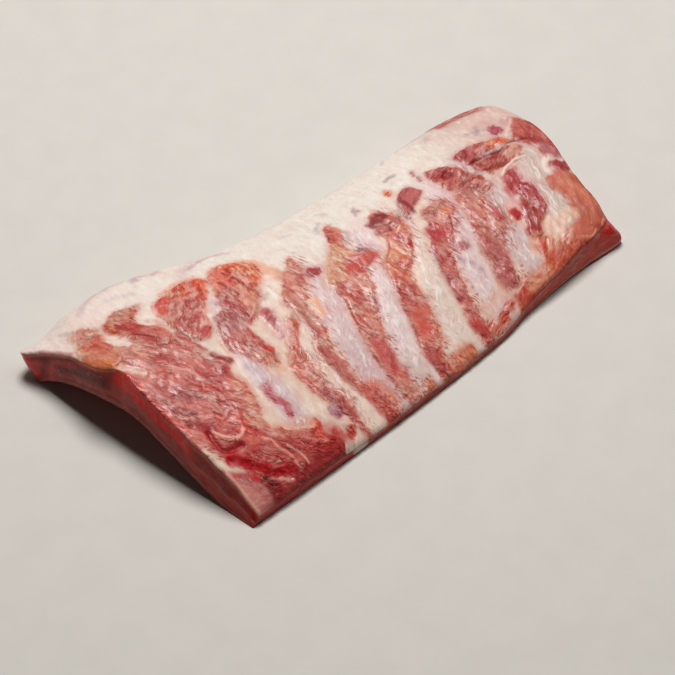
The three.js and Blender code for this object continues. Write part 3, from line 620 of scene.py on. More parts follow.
    stainAndShade([(342, 133), (348, 130), (354, 126)], 2, (164, 132, 142), 0.6, 2.5),
]

for fold in range(9):  # fine creases in the skin beside the smooth meat, pale and flesh coloured by turns
    creaseLine = [(320 + 2.4 * fold, 39 - 1.3 * fold), (312 + 2.5 * fold, 30 - 1.2 * fold),
                  (305 + 2.0 * fold, 19 - 0.6 * fold)]
    stainsAndShades.append(stainAndShade(creaseLine, 1.0, ((208, 136, 106), (236, 206, 176))[fold % 2], 0.45, 1.6))

# a thin dark red line of painted shadow along one side of each strip, where the membrane's edge overhangs
# the meat
for name in ("strip2", "strip3", "strip4", "strip5"):
    sides = [(row[1] + 1.0, row[0]) for row in lean[name]["rows"] if 4 < row[0] < 92]
    stainsAndShades.append(stainAndShade(sides[::3], 1.0, (140, 40, 44), 0.5, 1.9))

# Raised pale threads and rims of tissue over the meat: line, width and height in mm, colour.
sinews = [
    sinew([(18, 53), (21, 46), (29, 41), (36, 43)], 2, 0.9, (232, 168, 152)),
    sinew([(36, 43), (37, 50), (32, 54)], 1.4, 0.5, (226, 156, 144)),
    sinew([(42, 32), (46, 28), (46, 22), (50, 15), (50, 6)], 1.2, 0.5, (232, 166, 148)),
    sinew([(53, 20), (57, 11), (57, 5)], 1.2, 0.4, (236, 176, 160)),
    sinew([(5, 27), (6, 18), (6, 6), (8, -3)], 1.6, 0.5, (240, 168, 152)),
    sinew([(40, 74), (42, 64), (40, 56)], 1.2, 0.4, (226, 150, 140)),
    sinew([(19, 66), (26, 62), (30, 57), (38, 60)], 1.2, 0.4, (226, 150, 140)),
    sinew([(30, 107), (38, 98), (40, 88), (36, 80)], 1.3, 0.4, (228, 158, 148)),
    sinew([(24, 136), (21, 128), (26, 122)], 1.2, 0.3, (228, 170, 150)),
    sinew([(2, 114), (6, 109), (6, 104)], 1, 0.4, (222, 150, 136)),
    sinew([(1, 105), (5, 102), (6, 97)], 1, 0.4, (222, 150, 136)),
    sinew([(1, 97), (5, 93), (5, 89)], 1, 0.4, (218, 140, 126)),
    sinew([(64, 20), (72, 12), (78, 8)], 1.2, 0.4, (222, 130, 120)),
    sinew([(88, 1), (85, -3), (83, -8)], 1.4, 0.5, (230, 200, 184)),
    sinew([(97, 0), (93, -4), (91, -9)], 1.6, 0.6, (232, 204, 188)),
    sinew([(96, 13), (101, 9), (105, 2)], 1.2, 0.4, (236, 204, 192)),
    sinew([(60, 148), (63, 157), (69, 164)], 1.4, 0.5, (230, 170, 156)),
    sinew([(98, 104), (106, 107), (114, 113)], 1.2, 0.3, (226, 160, 150)),
    sinew([(66, 156), (80, 150), (92, 152)], 1.2, 0.4, (222, 120, 108)),
    sinew([(112, 150), (122, 146), (134, 152)], 1.2, 0.4, (224, 130, 112)),
    sinew([(375, 121), (370, 117), (364, 114), (357, 109)], 1.4, 0.25, (226, 186, 174)),
    sinew([(328, 85), (334, 88), (342, 89), (347, 88), (352, 86)], 2, 0.9, (236, 208, 194)),
    sinew([(330, 13), (338, 9), (344, 11)], 1.2, 0.5, (222, 142, 122)),
    sinew([(349, 9), (353, 13), (359, 15)], 1.2, 0.5, (222, 138, 120)),
]

# Small spots of meat showing through fat or membrane.
redSpots = [
    mark([(164, 109), (167, 108)], 8, (160, 48, 56)),
    mark([(94, 4), (100, 7)], 6, (196, 74, 60)),
    mark([(86, 11), (88, 10)], 2.6, (196, 76, 66)),
    mark([(96, 22), (98, 18)], 4, (180, 116, 128)),
    mark([(229, 133), (231, 130)], 1.5, (150, 70, 84)),
    mark([(283, 121), (284, 127), (286, 132)], 2.4, (184, 118, 122)),
    mark([(160, -6), (167, 0)], 7, (206, 104, 76)),
    mark([(190, -4), (207, 0)], 9, (206, 108, 80)),
    mark([(257.5, 127), (258, 130)], 4, (218, 124, 86)),
    mark([(256, 58.5), (261, 58)], 6, (188, 112, 116)),
    mark([(71, 58), (69, 50), (72, 43), (70, 35)], 4.5, (184, 84, 90)),
]

# Folds and gashes: line, width and depth in mm, and how dark the painted shade at the bottom is.
creases = [
    crease([(318, 107), (327, 107), (336, 105.5), (345, 103), (353, 103.5), (361, 100), (369, 96)], 1.8,
        0.6, 0.4),
    crease([(15, 54), (13, 47), (15, 39), (27, 36)], 2.5, 1.6, 0.15),
    crease([(14, 32), (23, 23), (30, 14), (40, 5)], 3, 1.2, 0.15),
    crease([(25, 12), (26, 4), (22, -4)], 2.5, 1.2, 0.15),
    crease([(222, 103), (232, 99), (244, 101)], 1.2, 0.7, 0.3),
    crease([(224, 97), (233, 94), (242, 96)], 1.1, 0.6, 0.25),
    crease([(226, 109), (233, 105), (243, 107)], 1.1, 0.6, 0.25),
    crease([(249, 101), (260, 98), (272, 102)], 1.4, 0.5, 0.1),
    crease([(258, 95), (266, 91), (278, 93)], 1.1, 0.6, 0.2),
    crease([(289, 98), (299, 94), (312, 97)], 1.1, 0.5, 0.15),
]


def smoothLine(points, closed=False, parts=5):
    p = np.array(points, float)
    if closed:
        p = np.vstack([p[-1:], p, p[:2]])
    else:
        p = np.vstack([2 * p[0] - p[1], p, 2 * p[-1] - p[-2]])
    out = []
    for i in range(1, len(p) - 2):
        for t in np.arange(parts) / parts:
            pull = (p[i + 1] - p[i - 1]) / 2
            push = (p[i + 2] - p[i]) / 2
            out.append((2 * t**3 - 3 * t**2 + 1) * p[i] + (t**3 - 2 * t**2 + t) * pull
                       + (3 * t**2 - 2 * t**3) * p[i + 1] + (t**3 - t**2) * push)
    if not closed:
        out.append(p[-2])
    return np.array(out)


def lineDistance(x, y, line, reach=14.0):  # millimetres from a line, at most `reach`
    path = smoothLine(line)
    low, high = path.min(0) - reach, path.max(0) + reach
    near = (x > low[0]) & (x < high[0]) & (y > low[1]) & (y < high[1])
    found = np.full(x.shape, reach)
    px, py = x[near], y[near]
    best = np.full(px.shape, reach * reach)
    for a, b in zip(path[:-1], path[1:]):
        ex, ey = b - a
        t = np.clip(((px - a[0]) * ex + (py - a[1]) * ey) / (ex * ex + ey * ey + 1e-9), 0, 1)
        best = np.minimum(best, (px - a[0] - t * ex) ** 2 + (py - a[1] - t * ey) ** 2)
    found[near] = np.sqrt(best)
    return found


def insideDistance(x, y, outline, reach=14.0):  # positive inside, negative outside
    ring = smoothLine(outline, closed=True)
    low, high = ring.min(0) - reach, ring.max(0) + reach
    near = (x > low[0]) & (x < high[0]) & (y > low[1]) & (y < high[1])
    found = np.full(x.shape, -reach)
    px, py = x[near], y[near]
    best = np.full(px.shape, reach * reach)
    inside = np.zeros(px.shape, bool)
    for a, b in zip(ring, np.roll(ring, -1, axis=0)):
        ex, ey = b - a
        t = np.clip(((px - a[0]) * ex + (py - a[1]) * ey) / (ex * ex + ey * ey + 1e-9), 0, 1)
        best = np.minimum(best, (px - a[0] - t * ex) ** 2 + (py - a[1] - t * ey) ** 2)
        spans = (a[1] > py) != (b[1] > py)
        inside ^= spans & (px < a[0] + (py - a[1]) * ex / (ey if abs(ey) > 1e-9 else 1e-9))
    found[near] = np.where(inside, 1, -1) * np.sqrt(best)
    return found


def outlineOf(piece):
    if "outline" in piece:
        return piece["outline"]
    left = [(low, y) for y, low, high in piece["rows"]]
    right = [(high, y) for y, low, high in reversed(piece["rows"])]
    return left + right


def ribOffset(x, y, line):  # signed millimetres across from a rib's line, and the share of its length passed
    middleX = curve([(p[1], p[0]) for p in line], y)
    slope = (curve([(p[1], p[0]) for p in line], y + 1) - middleX)
    along = (y - line[0][1]) / (line[-1][1] - line[0][1])
    return (x - middleX) / np.sqrt(1 + slope * slope), along


fatTones = {
    "plain": tone(226, 214, 201),
    "farLeft": tone(230, 210, 199),
    "farRight": tone(208, 176, 163),
    "between": tone(226, 198, 178),
    "ribs": [tone(214, 186, 184), tone(233, 211, 192), tone(213, 182, 178), tone(226, 202, 197),
             tone(225, 202, 186), tone(222, 194, 189), tone(206, 179, 173), tone(204, 180, 168)],
}


def wrinklesAt(x, y, grain):  # 0 in the creases that run along the fibres, more on the folds between them
    along, cross = turned(x, y, grain)
    return abs(softNoise(along / 3.2 + 2.5 * softNoise(x, y, 14, 17), cross, 5.2, 19))


def paintLean(x, y):  # how far inside the meat a place is, its colour and its fibres
    layers = {name: np.zeros(x.shape) for name in ("grain", "rise", "fibres", "comb", "swirl", "soft")}
    tint = np.zeros(x.shape + (3,))
    weights = np.full(x.shape, 1e-9)
    share = np.full(x.shape, -1e9)
    rival = np.full(x.shape, -99.0)  # how far inside a neighbour whose fibres run another way
    for piece in lean.values():
        inside = insideDistance(x, y, outlineOf(piece))
        weight = np.exp(np.clip(inside, -14, 3) / 1.5)
        tint += weight[..., None] * piece["light"]
        weights += weight
        for name, usual in (("fibres", 1.0), ("swirl", 0.3), ("soft", 0.25)):
            layers[name] += weight * piece.get(name, usual)
        grain = layers["grain"]
        rival = np.maximum(rival, np.where(grain != piece["grain"], np.minimum(inside, share), -99))
        layers["grain"] = np.where(inside > share, piece["grain"], grain)
        if "rows" in piece:
            rows = sorted(piece["rows"])
            middle = np.interp(y, [r[0] for r in rows], [(r[1] + r[2]) / 2 for r in rows])
            combed = ease((x - middle) / 4) * ease((inside + 9) / 4)
            layers["comb"] = np.maximum(layers["comb"], combed)
        share = np.maximum(share, inside)
        layers["rise"] = np.maximum(layers["rise"], piece["rise"] * ease((inside + 1.0) / 3.5))
    layers["fibres"] *= (0.2 + 0.8 * ease((share - rival) / 3)) / weights
    layers["swirl"] /= weights
    layers["soft"] *= ease((share + 9) / 5) / weights
    return dict(layers, share=share, lean=tint / weights[..., None])


def paintFat(x, y):  # the fat's colour, and how far each rib swells it
    fat = np.ones(x.shape + (3,)) * fatTones["plain"]
    for name, amount in (("between", ease((118 - y) / 25)),
                         ("farLeft", ease((110 - x) / 90) * ease((y - 150) / 30)),
                         ("farRight", ease((x - 290) / 70))):
        fat += (fatTones[name] - fat) * amount[..., None]
    swell = np.zeros(x.shape)
    for line, ribTone in zip(ribs["lines"], fatTones["ribs"]):
        off, along = ribOffset(x, y, line)
        reach = ease((along + 0.15) / 0.1) * ease((1.02 - along) / 0.25)
        near = ease((ribs["width"] / 2 + 1.5 - abs(off)) / 3) * reach
        fat += (ribTone - fat) * near[..., None]
        swell = np.maximum(swell, np.sqrt(np.clip(1 - (off / 10.5) ** 2, 0, 1)) * reach)
    return fat, swell


def addMarks(paint, x, y):  # blood spots, pale marks, stains, painted shadow lines and sinews
    def colour(kind, shade, amount):
        paint[kind] += (shade - paint[kind]) * amount[..., None]

    for spot in redSpots:
        inside = spot["width"] / 2 - lineDistance(x, y, spot["line"])
        colour("lean", spot["tone"], ease((inside + 2) / 2))
        paint["share"] = np.maximum(paint["share"], inside)
    for mark in paleMarks:
        gap = lineDistance(x, y, mark["line"]) - mark["width"] / 2
        colour("fat", mark["tone"], ease((2.5 - gap) / 3))
        paint["share"] = np.minimum(paint["share"], gap)
        paint["rise"] *= ease((gap + 2) / 3)
    for stainAndShade in stainsAndShades:
        reach = 14 + 0.8 * stainAndShade["width"] + stainAndShade["soft"]
        gap = lineDistance(x, y, stainAndShade["line"], reach) - stainAndShade["width"] / 2
        gap = gap + 0.3 * stainAndShade["width"] * softNoise(x, y, 5, 81)
        near = ease(0.6 - gap / (1.4 * stainAndShade["soft"]))
        paint["fibres"] *= 1 - stainAndShade["smooth"] * near
        for kind in ("lean", "fat"):
            colour(kind, stainAndShade["tone"], stainAndShade["amount"] * near)
    for sinew in sinews:
        gap = lineDistance(x, y, sinew["line"]) - sinew["width"] / 2
        near = ease(0.5 - gap / 1.2)
        for kind in ("lean", "fat"):
            colour(kind, sinew["tone"], 0.85 * near)
        paint["fibres"] *= 1 - 0.7 * near
        paint["rise"] += sinew["height"] * near


def addCreases(paint, x, y):
    paint["fold"] = np.zeros(x.shape)
    # painted shade: the bottom of each crease is darkened
    creaseShade = np.zeros(x.shape)
    for crease in creases:
        near = ease(1.2 - lineDistance(x, y, crease["line"]) / crease["width"])
        paint["fold"] = np.maximum(paint["fold"], crease["depth"] * near)
        creaseShade = np.maximum(creaseShade, crease["creaseShade"] * near**2)
    # painted shade in the valleys of the fine wrinkles along the fibres
    wrinkleShade = ease((0.2 - wrinklesAt(x, y, paint["grain"])) / 0.18)
    wrinkleShade = wrinkleShade * ease(softNoise(x, y, 24, 21) / 0.6 + 0.6) * ease((paint["share"] - 0.5) / 2)
    paint["creaseShade"] = np.maximum(creaseShade, 0.34 * wrinkleShade * np.clip(paint["fibres"], 0, 1))


def paintPlan(x, y):  # everything the surface needs to know at a place seen from above
    paint = paintLean(x, y)
    paint["fat"], paint["swell"] = paintFat(x, y)
    addMarks(paint, x, y)
    addCreases(paint, x, y)
    return paint


def fineRelief(x, y, paint):  # waves and short ridges too big for the material's bump
    along, cross = turned(x, y, paint["grain"])
    inMeat = ease((paint["share"] + 0.5) / 2)
    ridges = 1 - 2 * abs(softNoise(along / 2.6 + 3 * softNoise(x, y, 16, 3), cross, 2.6, 5))
    waves = 0.5 * softNoise(x, y, 26, 7) + 0.25 * softNoise(x, y, 9, 9)
    lumps = 0.5 * softNoise(along / 1.6, cross, 6, 15) + 0.4 * softNoise(x, y, 9, 12)
    wrinkles = np.minimum(wrinklesAt(x, y, paint["grain"]), 0.7) * paint["fibres"]
    return waves + inMeat * (0.25 * ridges + lumps + 1.1 * wrinkles - 0.3)


# Slab mesh: a fine outer grid, a coarser inner one, and rows of wall between their rims.
def rimRounding(x, y, w):  # how much lower the surface lies close to the outline
    nearGap = y - curve(slab["nearEdge"], x)
    farGap = curve(slab["farEdge"], x) - y
    cutGap = x - curve(slab["cutTop"], w)
    endGap = curve(slab["roundEnd"], w) - x
    drop = np.zeros(x.shape)
    for gap, radius in ((nearGap, slab["nearRounding"]), (farGap, slab["farRounding"]),
                        (cutGap, slab["cutRounding"]), (endGap, slab["roundEndRounding"])):
        inside = np.clip(1 - gap / radius, 0, 1)
        drop = np.maximum(drop, 0.75 * radius * (1 - np.sqrt(1 - inside * inside * 0.98)))
    return drop


def outerSurface(x, y, w, paint):
    roll = slab["farRoll"] * ease((x + 2) / 30) * ease((150 - x) / 90) * ease((w - 0.82) / 0.13)
    height = topHeight(x, w) + roll + ribs["swell"] * paint["swell"] - slab["sunk"]
    return height + paint["rise"] - paint["fold"] + fineRelief(x, y, paint) - rimRounding(x, y, w)


def wobbleRim(x, y, w):  # the cut end isn't straight
    push = curve(slab["rimWobble"], w) + 0.5 * softNoise(y, 0 * y, 9, 31)
    return x + push * np.exp(-np.clip(x - curve(slab["cutTop"], w), 0, 99) / 9)


def pulledCorner(x, y, pull):  # the far corner of the cut end sticks out
    near = np.exp(-((x + 9) ** 2 + (y - 206) ** 2) / (2 * slab["beakSize"] ** 2))
    return x + pull[0] * near, y + pull[1] * near, near


def fillOut(x, y, w, isTop):  # the rounded end swells a little and its near corner runs to a point below
    swell = curve(slab["endSwell"], w) * np.exp(-np.clip(curve(slab["roundEnd"], w) - x, 0, 99) / 12)
    if isTop:
        y = y + curve(slab["nearSetBack"], x) * np.exp(-np.clip(y - curve(slab["nearEdge"], x), 0, 99) / 14)
        return x + swell, y
    tipX, tipY = slab["tipFoot"]
    tip = np.exp(-((x - tipX) ** 2 + (y - tipY) ** 2) / 120)
    return x + swell + slab["tipReach"][0] * tip, y + slab["tipReach"][1] * tip


def slabGrids():
    nu, nw = slab["stepsAlong"], slab["stepsAcross"]
    u, w = np.meshgrid(np.linspace(0, 1, nu + 1), np.linspace(0, 1, nw + 1), indexing="ij")
    x, y, b = planPoint(u, w, slab["cutTop"])
    x = wobbleRim(x, y, b)
    x, y = fillOut(x, y, b, True)
    paint = paintPlan(x, y)
    height = outerSurface(x, y, b, paint)
    x, y, near = pulledCorner(x, y, slab["beakTop"])
    top = np.stack([x, y, height + 1.5 * near], -1)
    halfU, halfW = np.meshgrid(np.linspace(0, 1, nu // 2 + 1), np.linspace(0, 1, nw // 2 + 1), indexing="ij")
    fx, fy, fb = planPoint(halfU, halfW, slab["cutFoot"])
    ridge = np.zeros(fx.shape)
    for line in ribs["lines"]:
        off, along = ribOffset(fx, fy, line)
        reach = ease((along + 0.1) / 0.1) * ease((1.1 - along) / 0.2)
        ridge = np.maximum(ridge, np.exp(-(off / 6.5) ** 2) * reach)
    lifted = ease(footHeight(fx, fb) / 4)
    inner = footHeight(fx, fb) + lifted * (-1.4 * ridge + 0.9 + 0.5 * softNoise(fx, fy, 12, 41))
    fx, fy = fillOut(fx, fy, fb, False)
    fx, fy, near = pulledCorner(fx, fy, slab["beakFoot"])
    foot = np.stack([fx, fy, inner], -1)
    return top, paint, foot, ridge


def loopOf(nu, nw):  # grid places round the rim, from the near corner of the cut end
    near = [(i, 0) for i in range(nu)]
    end = [(nu, j) for j in range(nw)]
    far = [(i, nw) for i in range(nu, 0, -1)]
    cut = [(0, j) for j in range(nw, 0, -1)]
    return np.array(near + end + far + cut)


def frameShift():  # from the rack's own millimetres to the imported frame
    grid = np.meshgrid(np.linspace(0, 1, 41), np.linspace(0, 1, 21), indexing="ij")
    xs, ys = [], []
    for rim in (slab["cutTop"], slab["cutFoot"]):
        x, y, _ = planPoint(*grid, rim)
        xs += [x.min(), x.max()]
        ys += [y.min(), y.max()]
    middle = (cadBox[0] + cadBox[1]) * 500
    return np.array([(min(xs) + max(xs)) / 2 - middle[0], (min(ys) + max(ys)) / 2 - middle[1], 0])


shift = frameShift()
print("outline middle", shift.round(3))

# Colours of the four sides and of the inner side.
sideTones = {
    "cutRim": tone(226, 150, 132),
    "cutRed": tone(232, 26, 18),
    "cutBrown": tone(150, 16, 10),
    "cutPink": tone(182, 54, 46),
    "cutDeep": tone(170, 60, 52),
    "cutLow": tone(88, 14, 10),
    "cutLine": tone(200, 104, 92),
    "cutLipHighlight": tone(206, 100, 90),
    "cutMauve": tone(206, 66, 64),
    # dark crimson for a spot in the cut face, and for the painted shadow under the fat's rim
    "cutSpotAndShadow": tone(90, 4, 10),
    "cutOrange": tone(230, 120, 66),
    "near": tone(164, 44, 32),
    "nearTop": tone(208, 96, 74),
    "nearWarm": tone(192, 58, 42),
    "nearTip": tone(196, 34, 30),
    "nearWine": tone(172, 20, 20),
    "nearLine": tone(206, 150, 130),
    "nub": tone(206, 188, 176),
    "end": tone(176, 62, 52),
    "endDeep": tone(140, 34, 30),
    "endFat": tone(226, 188, 170),
    "far": tone(232, 216, 204),
    "farLean": tone(198, 120, 116),
    "inner": tone(168, 84, 82),
    "innerRib": tone(218, 190, 186),
}


def band(value, low, high, fade):
    return ease((value - low) / fade + 0.5) * ease((high - value) / fade + 0.5)


def paintCut(y, t):  # the cut face, t runs down from its rim
    depth = t + 0.07 * softNoise(y, 40 * t, 12, 51)
    place = y + 4 * softNoise(y, 40 * t, 8, 53)

    def over(color, name, amount):
        return color + (sideTones[name] - color) * np.asarray(amount)[..., None]

    # the middle: a bright red band with pale hooked strokes, smooth and dull below it
    hooks = ease((softNoise(y + 9 * t, 8 * t, 2.6, 57) - 0.25) / 0.3)
    color = over(np.broadcast_to(sideTones["cutRed"], y.shape + (3,)), "cutDeep", band(depth, 0.46, 9, 0.14))
    color = over(color, "cutLine", 0.5 * hooks * band(depth, -1, 0.4, 0.2))
    # the near third: a pink lip, partly a painted highlight on the rounded rim, a dark band, a thin ridge
    # and a dull red foot
    near = ease((64 - place) / 14)
    color = over(color, "cutBrown", near * band(depth, -1, 0.56, 0.1))
    color = over(color, "cutPink", near * band(depth, 0.56, 2, 0.1))
    color = over(color, "cutLine", 0.75 * near * band(depth, 0.5, 0.56, 0.06))
    # the pale lip along the rim, near end and middle: partly the meat's own colour, partly painted highlight
    color = over(color, "cutLipHighlight", np.maximum(near, 0.7 * band(place, 40, 116, 14)) * band(t, -1, 0.12, 0.12))
    # under the fat: dark and mottled, then a dull mauve block with a crimson core
    shade = band(place, 128, 182, 8)
    color = over(color, "cutLow", 0.85 * shade * band(depth, 0.12, 0.62, 0.25))
    color = over(color, "cutLine", 0.5 * shade * ease((softNoise(y, 30 * t, 2.2, 59) - 0.35) / 0.2))
    block = ease((place - 176) / 8)
    color = over(color, "cutMauve", block)
    color = over(color, "cutMauve", 0.7 * band(place, 160, 180, 6) * band(depth, -1, 0.4, 0.2))
    color = over(color, "cutSpotAndShadow", 0.8 * np.exp(-((place - 189) / 3.5) ** 2) * band(depth, 0.12, 0.9, 0.2))
    # painted shadow: a dark line just under the overhanging fat rim
    color = over(color, "cutSpotAndShadow", 0.7 * ease((place - 158) / 6) * band(depth, 0.1, 0.2, 0.08))
    color = over(color, "cutRim", 0.8 * ease((y - 158) / 6) * band(t, -1, 0.08, 0.06))
    color = over(color, "cutOrange", band(y, 128, 152, 5) * band(t, -1, 0.1, 0.06))
    color = over(color, "cutRed", 0.5 * ease((y - 198) / 5))
    # the lower edge
    color = over(color, "cutLow", 0.7 * band(depth, 0.8, 0.88, 0.08))
    color = over(color, "cutLine", 0.3 * band(depth, 0.9, 0.97, 0.06))
    return color * (1 + 0.22 * softNoise(y, 30 * t, 4, 55) + 0.12 * softNoise(y, 30 * t, 1.6, 56))[..., None]


def paintNear(x, t):
    top = sideTones["nearTop"]
    color = top + (sideTones["near"] - top) * ease((t - 0.1) / 0.3)[..., None]
    color = color + (sideTones["nearWine"] - color) * 0.8 * ease((104 - x) / 20)[..., None]
    mauve = ease((x - 262) / 30)[..., None]
    color = color + (sideTones["nearWarm"] - color) * mauve
    color = color + (sideTones["nearTip"] - color) * ease((x - 342) / 10)[..., None]
    patches = 0.22 * softNoise(x, 22 * t, 6, 65) + 0.14 * softNoise(x / 2, 22 * t, 2.4, 66)
    color = color * (1 + patches)[..., None]
    thread = ease((softNoise(x / 5, 24 * t, 3.0, 67) - 0.3) / 0.3)
    color = color + (sideTones["nearLine"] - color) * 0.35 * thread[..., None]
    line = ease(1 - abs(t - 0.86) / 0.07) * ease((x - 120) / 60)
    color = color + (sideTones["nearLine"] - color) * 0.7 * line[..., None]
    nub = ease((8 - abs(x - 97)) / 3) * ease((0.85 - t) / 0.15)
    return color + (sideTones["nub"] - color) * nub[..., None]


def paintEnd(y, t):  # layers of meat and fat, seen at the rounded end
    depth = t + 0.16 * softNoise(y, 0 * t, 24, 61) + 0.05 * softNoise(y, 10 * t, 5, 62)
    deep = ease(softNoise(y, 26 * t, 15, 64) / 0.5 + 0.5)[..., None]
    color = sideTones["end"] + (sideTones["endDeep"] - sideTones["end"]) * deep
    for at, thick, amount in ((0.10, 0.10, 0.8), (0.42, 0.05, 0.75), (0.66, 0.035, 0.5), (0.93, 0.06, 0.6)):
        broken = ease((softNoise(y, 12 * at + 3 * t, 11, 68) + 0.3) / 0.3)
        layer = amount * broken * band(depth, at - thick / 2, at + thick / 2, 0.06)
        color = color + (sideTones["endFat"] - color) * layer[..., None]
    streaks = 0.18 * softNoise(y / 3, 26 * t, 2.2, 69) + 0.12 * softNoise(y, 26 * t, 5, 70)
    return color * (1 + streaks)[..., None]


def paintWalls(x, y, t, nx, ny):
    lean = np.zeros(x.shape + (3,))
    end = paintEnd(y, t)
    far = np.broadcast_to(sideTones["far"], lean.shape)
    red = (ease((x - 325) / 20) * ease((0.8 - t) / 0.3))[..., None]
    far = far + (sideTones["farLean"] - far) * red
    low = ease((softNoise(x, 30 * t, 18, 63) - 0.05) / 0.3)[..., None]
    far = far + (sideTones["farLean"] - far) * low * 0.35
    for share, color in ((np.clip(-nx, 0, 1) ** 2, paintCut(y, t)), (np.clip(nx, 0, 1) ** 2, end),
                         (np.clip(-ny, 0, 1) ** 2, paintNear(x, t)), (np.clip(ny, 0, 1) ** 2, far)):
        lean = lean + share[..., None] * color
    return lean


def makeWalls(top, topPaint, foot):
    loop = loopOf(slab["stepsAlong"], slab["stepsAcross"])
    footLoop = loopOf(slab["stepsAlong"] // 2, slab["stepsAcross"] // 2)
    rim = top[loop[:, 0], loop[:, 1]]
    low = np.empty_like(rim)
    low[0::2] = foot[footLoop[:, 0], footLoop[:, 1]]
    low[1::2] = (low[0::2] + np.roll(low[0::2], -1, axis=0)) / 2
    ahead = np.roll(rim, -3, axis=0) - np.roll(rim, 3, axis=0)
    normal = np.stack([ahead[:, 1], -ahead[:, 0]], -1)
    normal /= np.linalg.norm(normal, axis=1)[:, None]
    along = np.cumsum(np.linalg.norm(np.diff(rim, axis=0, prepend=rim[-1:]), axis=1))
    everywhere, atEnd, atFar = slab["bulge"]
    bulge = everywhere + atEnd * np.clip(normal[:, 0], 0, 1) ** 2 + atFar * np.clip(normal[:, 1], 0, 1) ** 2
    bulge *= 1 - np.clip(-normal[:, 0], 0, 1) ** 2
    fullness = np.zeros((len(rim), 2))
    for corner, spread, reach in slab["fullCorners"]:
        fullness += np.exp(-((low[:, :2] - corner) ** 2).sum(1) / spread**2)[:, None] * reach
    rows = []
    paints = []
    for r in range(1, slab["wallRows"]):
        t = np.full(len(rim), r / slab["wallRows"])
        point = rim * (1 - t)[:, None] + low * t[:, None]
        push = bulge * np.sin(np.pi * t) * 0.8 + 0.35 * softNoise(along, 30 * t, 7, 71)
        point[:, :2] += normal * push[:, None] + fullness * np.sin(np.pi * t**1.3)[:, None]
        rows.append(point)
        color = paintWalls(point[:, 0], point[:, 1], t, normal[:, 0], normal[:, 1])
        edge = loop[:, 0], loop[:, 1]
        fatSide = np.clip(normal[:, 1], 0, 1) ** 2
        paints.append({
            "share": 6 - 16 * fatSide, "lean": color, "fat": color,
            "grain": np.stack([along, point[:, 2], 0 * along], -1),
            # the creases' painted shade runs on down the wall from the rim
            "creaseShade": topPaint["creaseShade"][edge] * (1 - t) * 0.5,
            "fibres": 0.55 - 0.35 * np.clip(-normal[:, 0], 0, 1),
            "comb": np.zeros(len(t)), "swirl": np.full(len(t), 0.3), "soft": np.full(len(t), 0.5),
        })
    return rows, paints


numberLayers = ("share", "creaseShade", "fibres", "comb", "swirl", "soft")
colorLayers = ("lean", "fat")


def addAttributes(mesh, paint):
    for name in numberLayers:
        mesh.attributes.new(name, "FLOAT", "POINT").data.foreach_set("value", paint[name].astype(np.float32))
    for name in colorLayers:
        rgba = np.concatenate([np.clip(paint[name], 0, 1), np.ones((len(paint[name]), 1))], 1)
        stored = mesh.attributes.new(name, "FLOAT_COLOR", "POINT")
        stored.data.foreach_set("color", rgba.astype(np.float32).ravel())
    grain = mesh.attributes.new("grain", "FLOAT_VECTOR", "POINT")
    grain.data.foreach_set("vector", paint["grain"].astype(np.float32).ravel())


def grainPlace(x, y, z, angle):
    along, cross = turned(x, y, angle)
    return np.stack([along, cross, z], -1)


def meshFrom(name, points, faces, paint):
    mesh = bpy.data.meshes.new(name)
    mesh.from_pydata(((points - shift) / 1000).tolist(), [], faces)
    addAttributes(mesh, paint)
    mesh.shade_smooth()
    piece = bpy.data.objects.new(name, mesh)
    bpy.context.collection.objects.link(piece)
    return piece


def slabFaces(nu, nw, hu, hw, wallStart, footStart):
    faces = []
    for i in range(nu):
        a = i * (nw + 1)
        b = a + nw + 1
        faces += [(a + j, b + j, b + j + 1, a + j + 1) for j in range(nw)]
    for i in range(hu):
        a = footStart + i * (hw + 1)
        b = a + hw + 1
        faces += [(a + j, a + j + 1, b + j + 1, b + j) for j in range(hw)]
    count = 2 * (nu + nw)
    loop, footLoop = loopOf(nu, nw), loopOf(hu, hw)
    footRim = footStart + footLoop[:, 0] * (hw + 1) + footLoop[:, 1]
    rings = [loop[:, 0] * (nw + 1) + loop[:, 1]]
    rings += [np.arange(start, start + count) for start in range(wallStart, footStart, count)]
    for upper, lower in zip(rings[:-1], rings[1:]):
        corners = (upper, lower, np.roll(lower, -1), np.roll(upper, -1))
        faces += list(zip(*(corner.tolist() for corner in corners)))
    # the last ring has two points for each one of the foot's rim
    last = rings[-1].tolist()
    foot = footRim.tolist()
    for k in range(len(foot)):
        a, b, c = last[2 * k], last[2 * k + 1], last[(2 * k + 2) % count]
        faces += [(a, foot[k], b), (b, foot[k], foot[(k + 1) % len(foot)])]
        faces.append((b, foot[(k + 1) % len(foot)], c))
    return faces


def slabPaint(top, topPaint, wallPaints, foot, ridge):
    paint = {name: [topPaint[name].reshape((-1,) + topPaint[name].shape[2:])]
             for name in numberLayers + colorLayers}
    flatTop, flatFoot = top.reshape(-1, 3), foot.reshape(-1, 3)
    paint["grain"] = [grainPlace(*flatTop.T, topPaint["grain"].ravel())]
    for wall in wallPaints:
        for name in paint:
            paint[name].append(wall[name])
    over = ridge.reshape(-1, 1)
    inner = sideTones["inner"] + (sideTones["innerRib"] - sideTones["inner"]) * ease((over - 0.25) / 0.4)
    paint["share"].append(4 - 9 * over[:, 0])
    for name, value in (("creaseShade", 0.0), ("fibres", 0.4), ("comb", 0.0), ("swirl", 0.5), ("soft", 0.5)):
        paint[name].append(np.full(len(flatFoot), value))
    for name in colorLayers:
        paint[name].append(inner)
    paint["grain"].append(grainPlace(*flatFoot.T, 70))
    return {name: np.concatenate(parts) for name, parts in paint.items()}


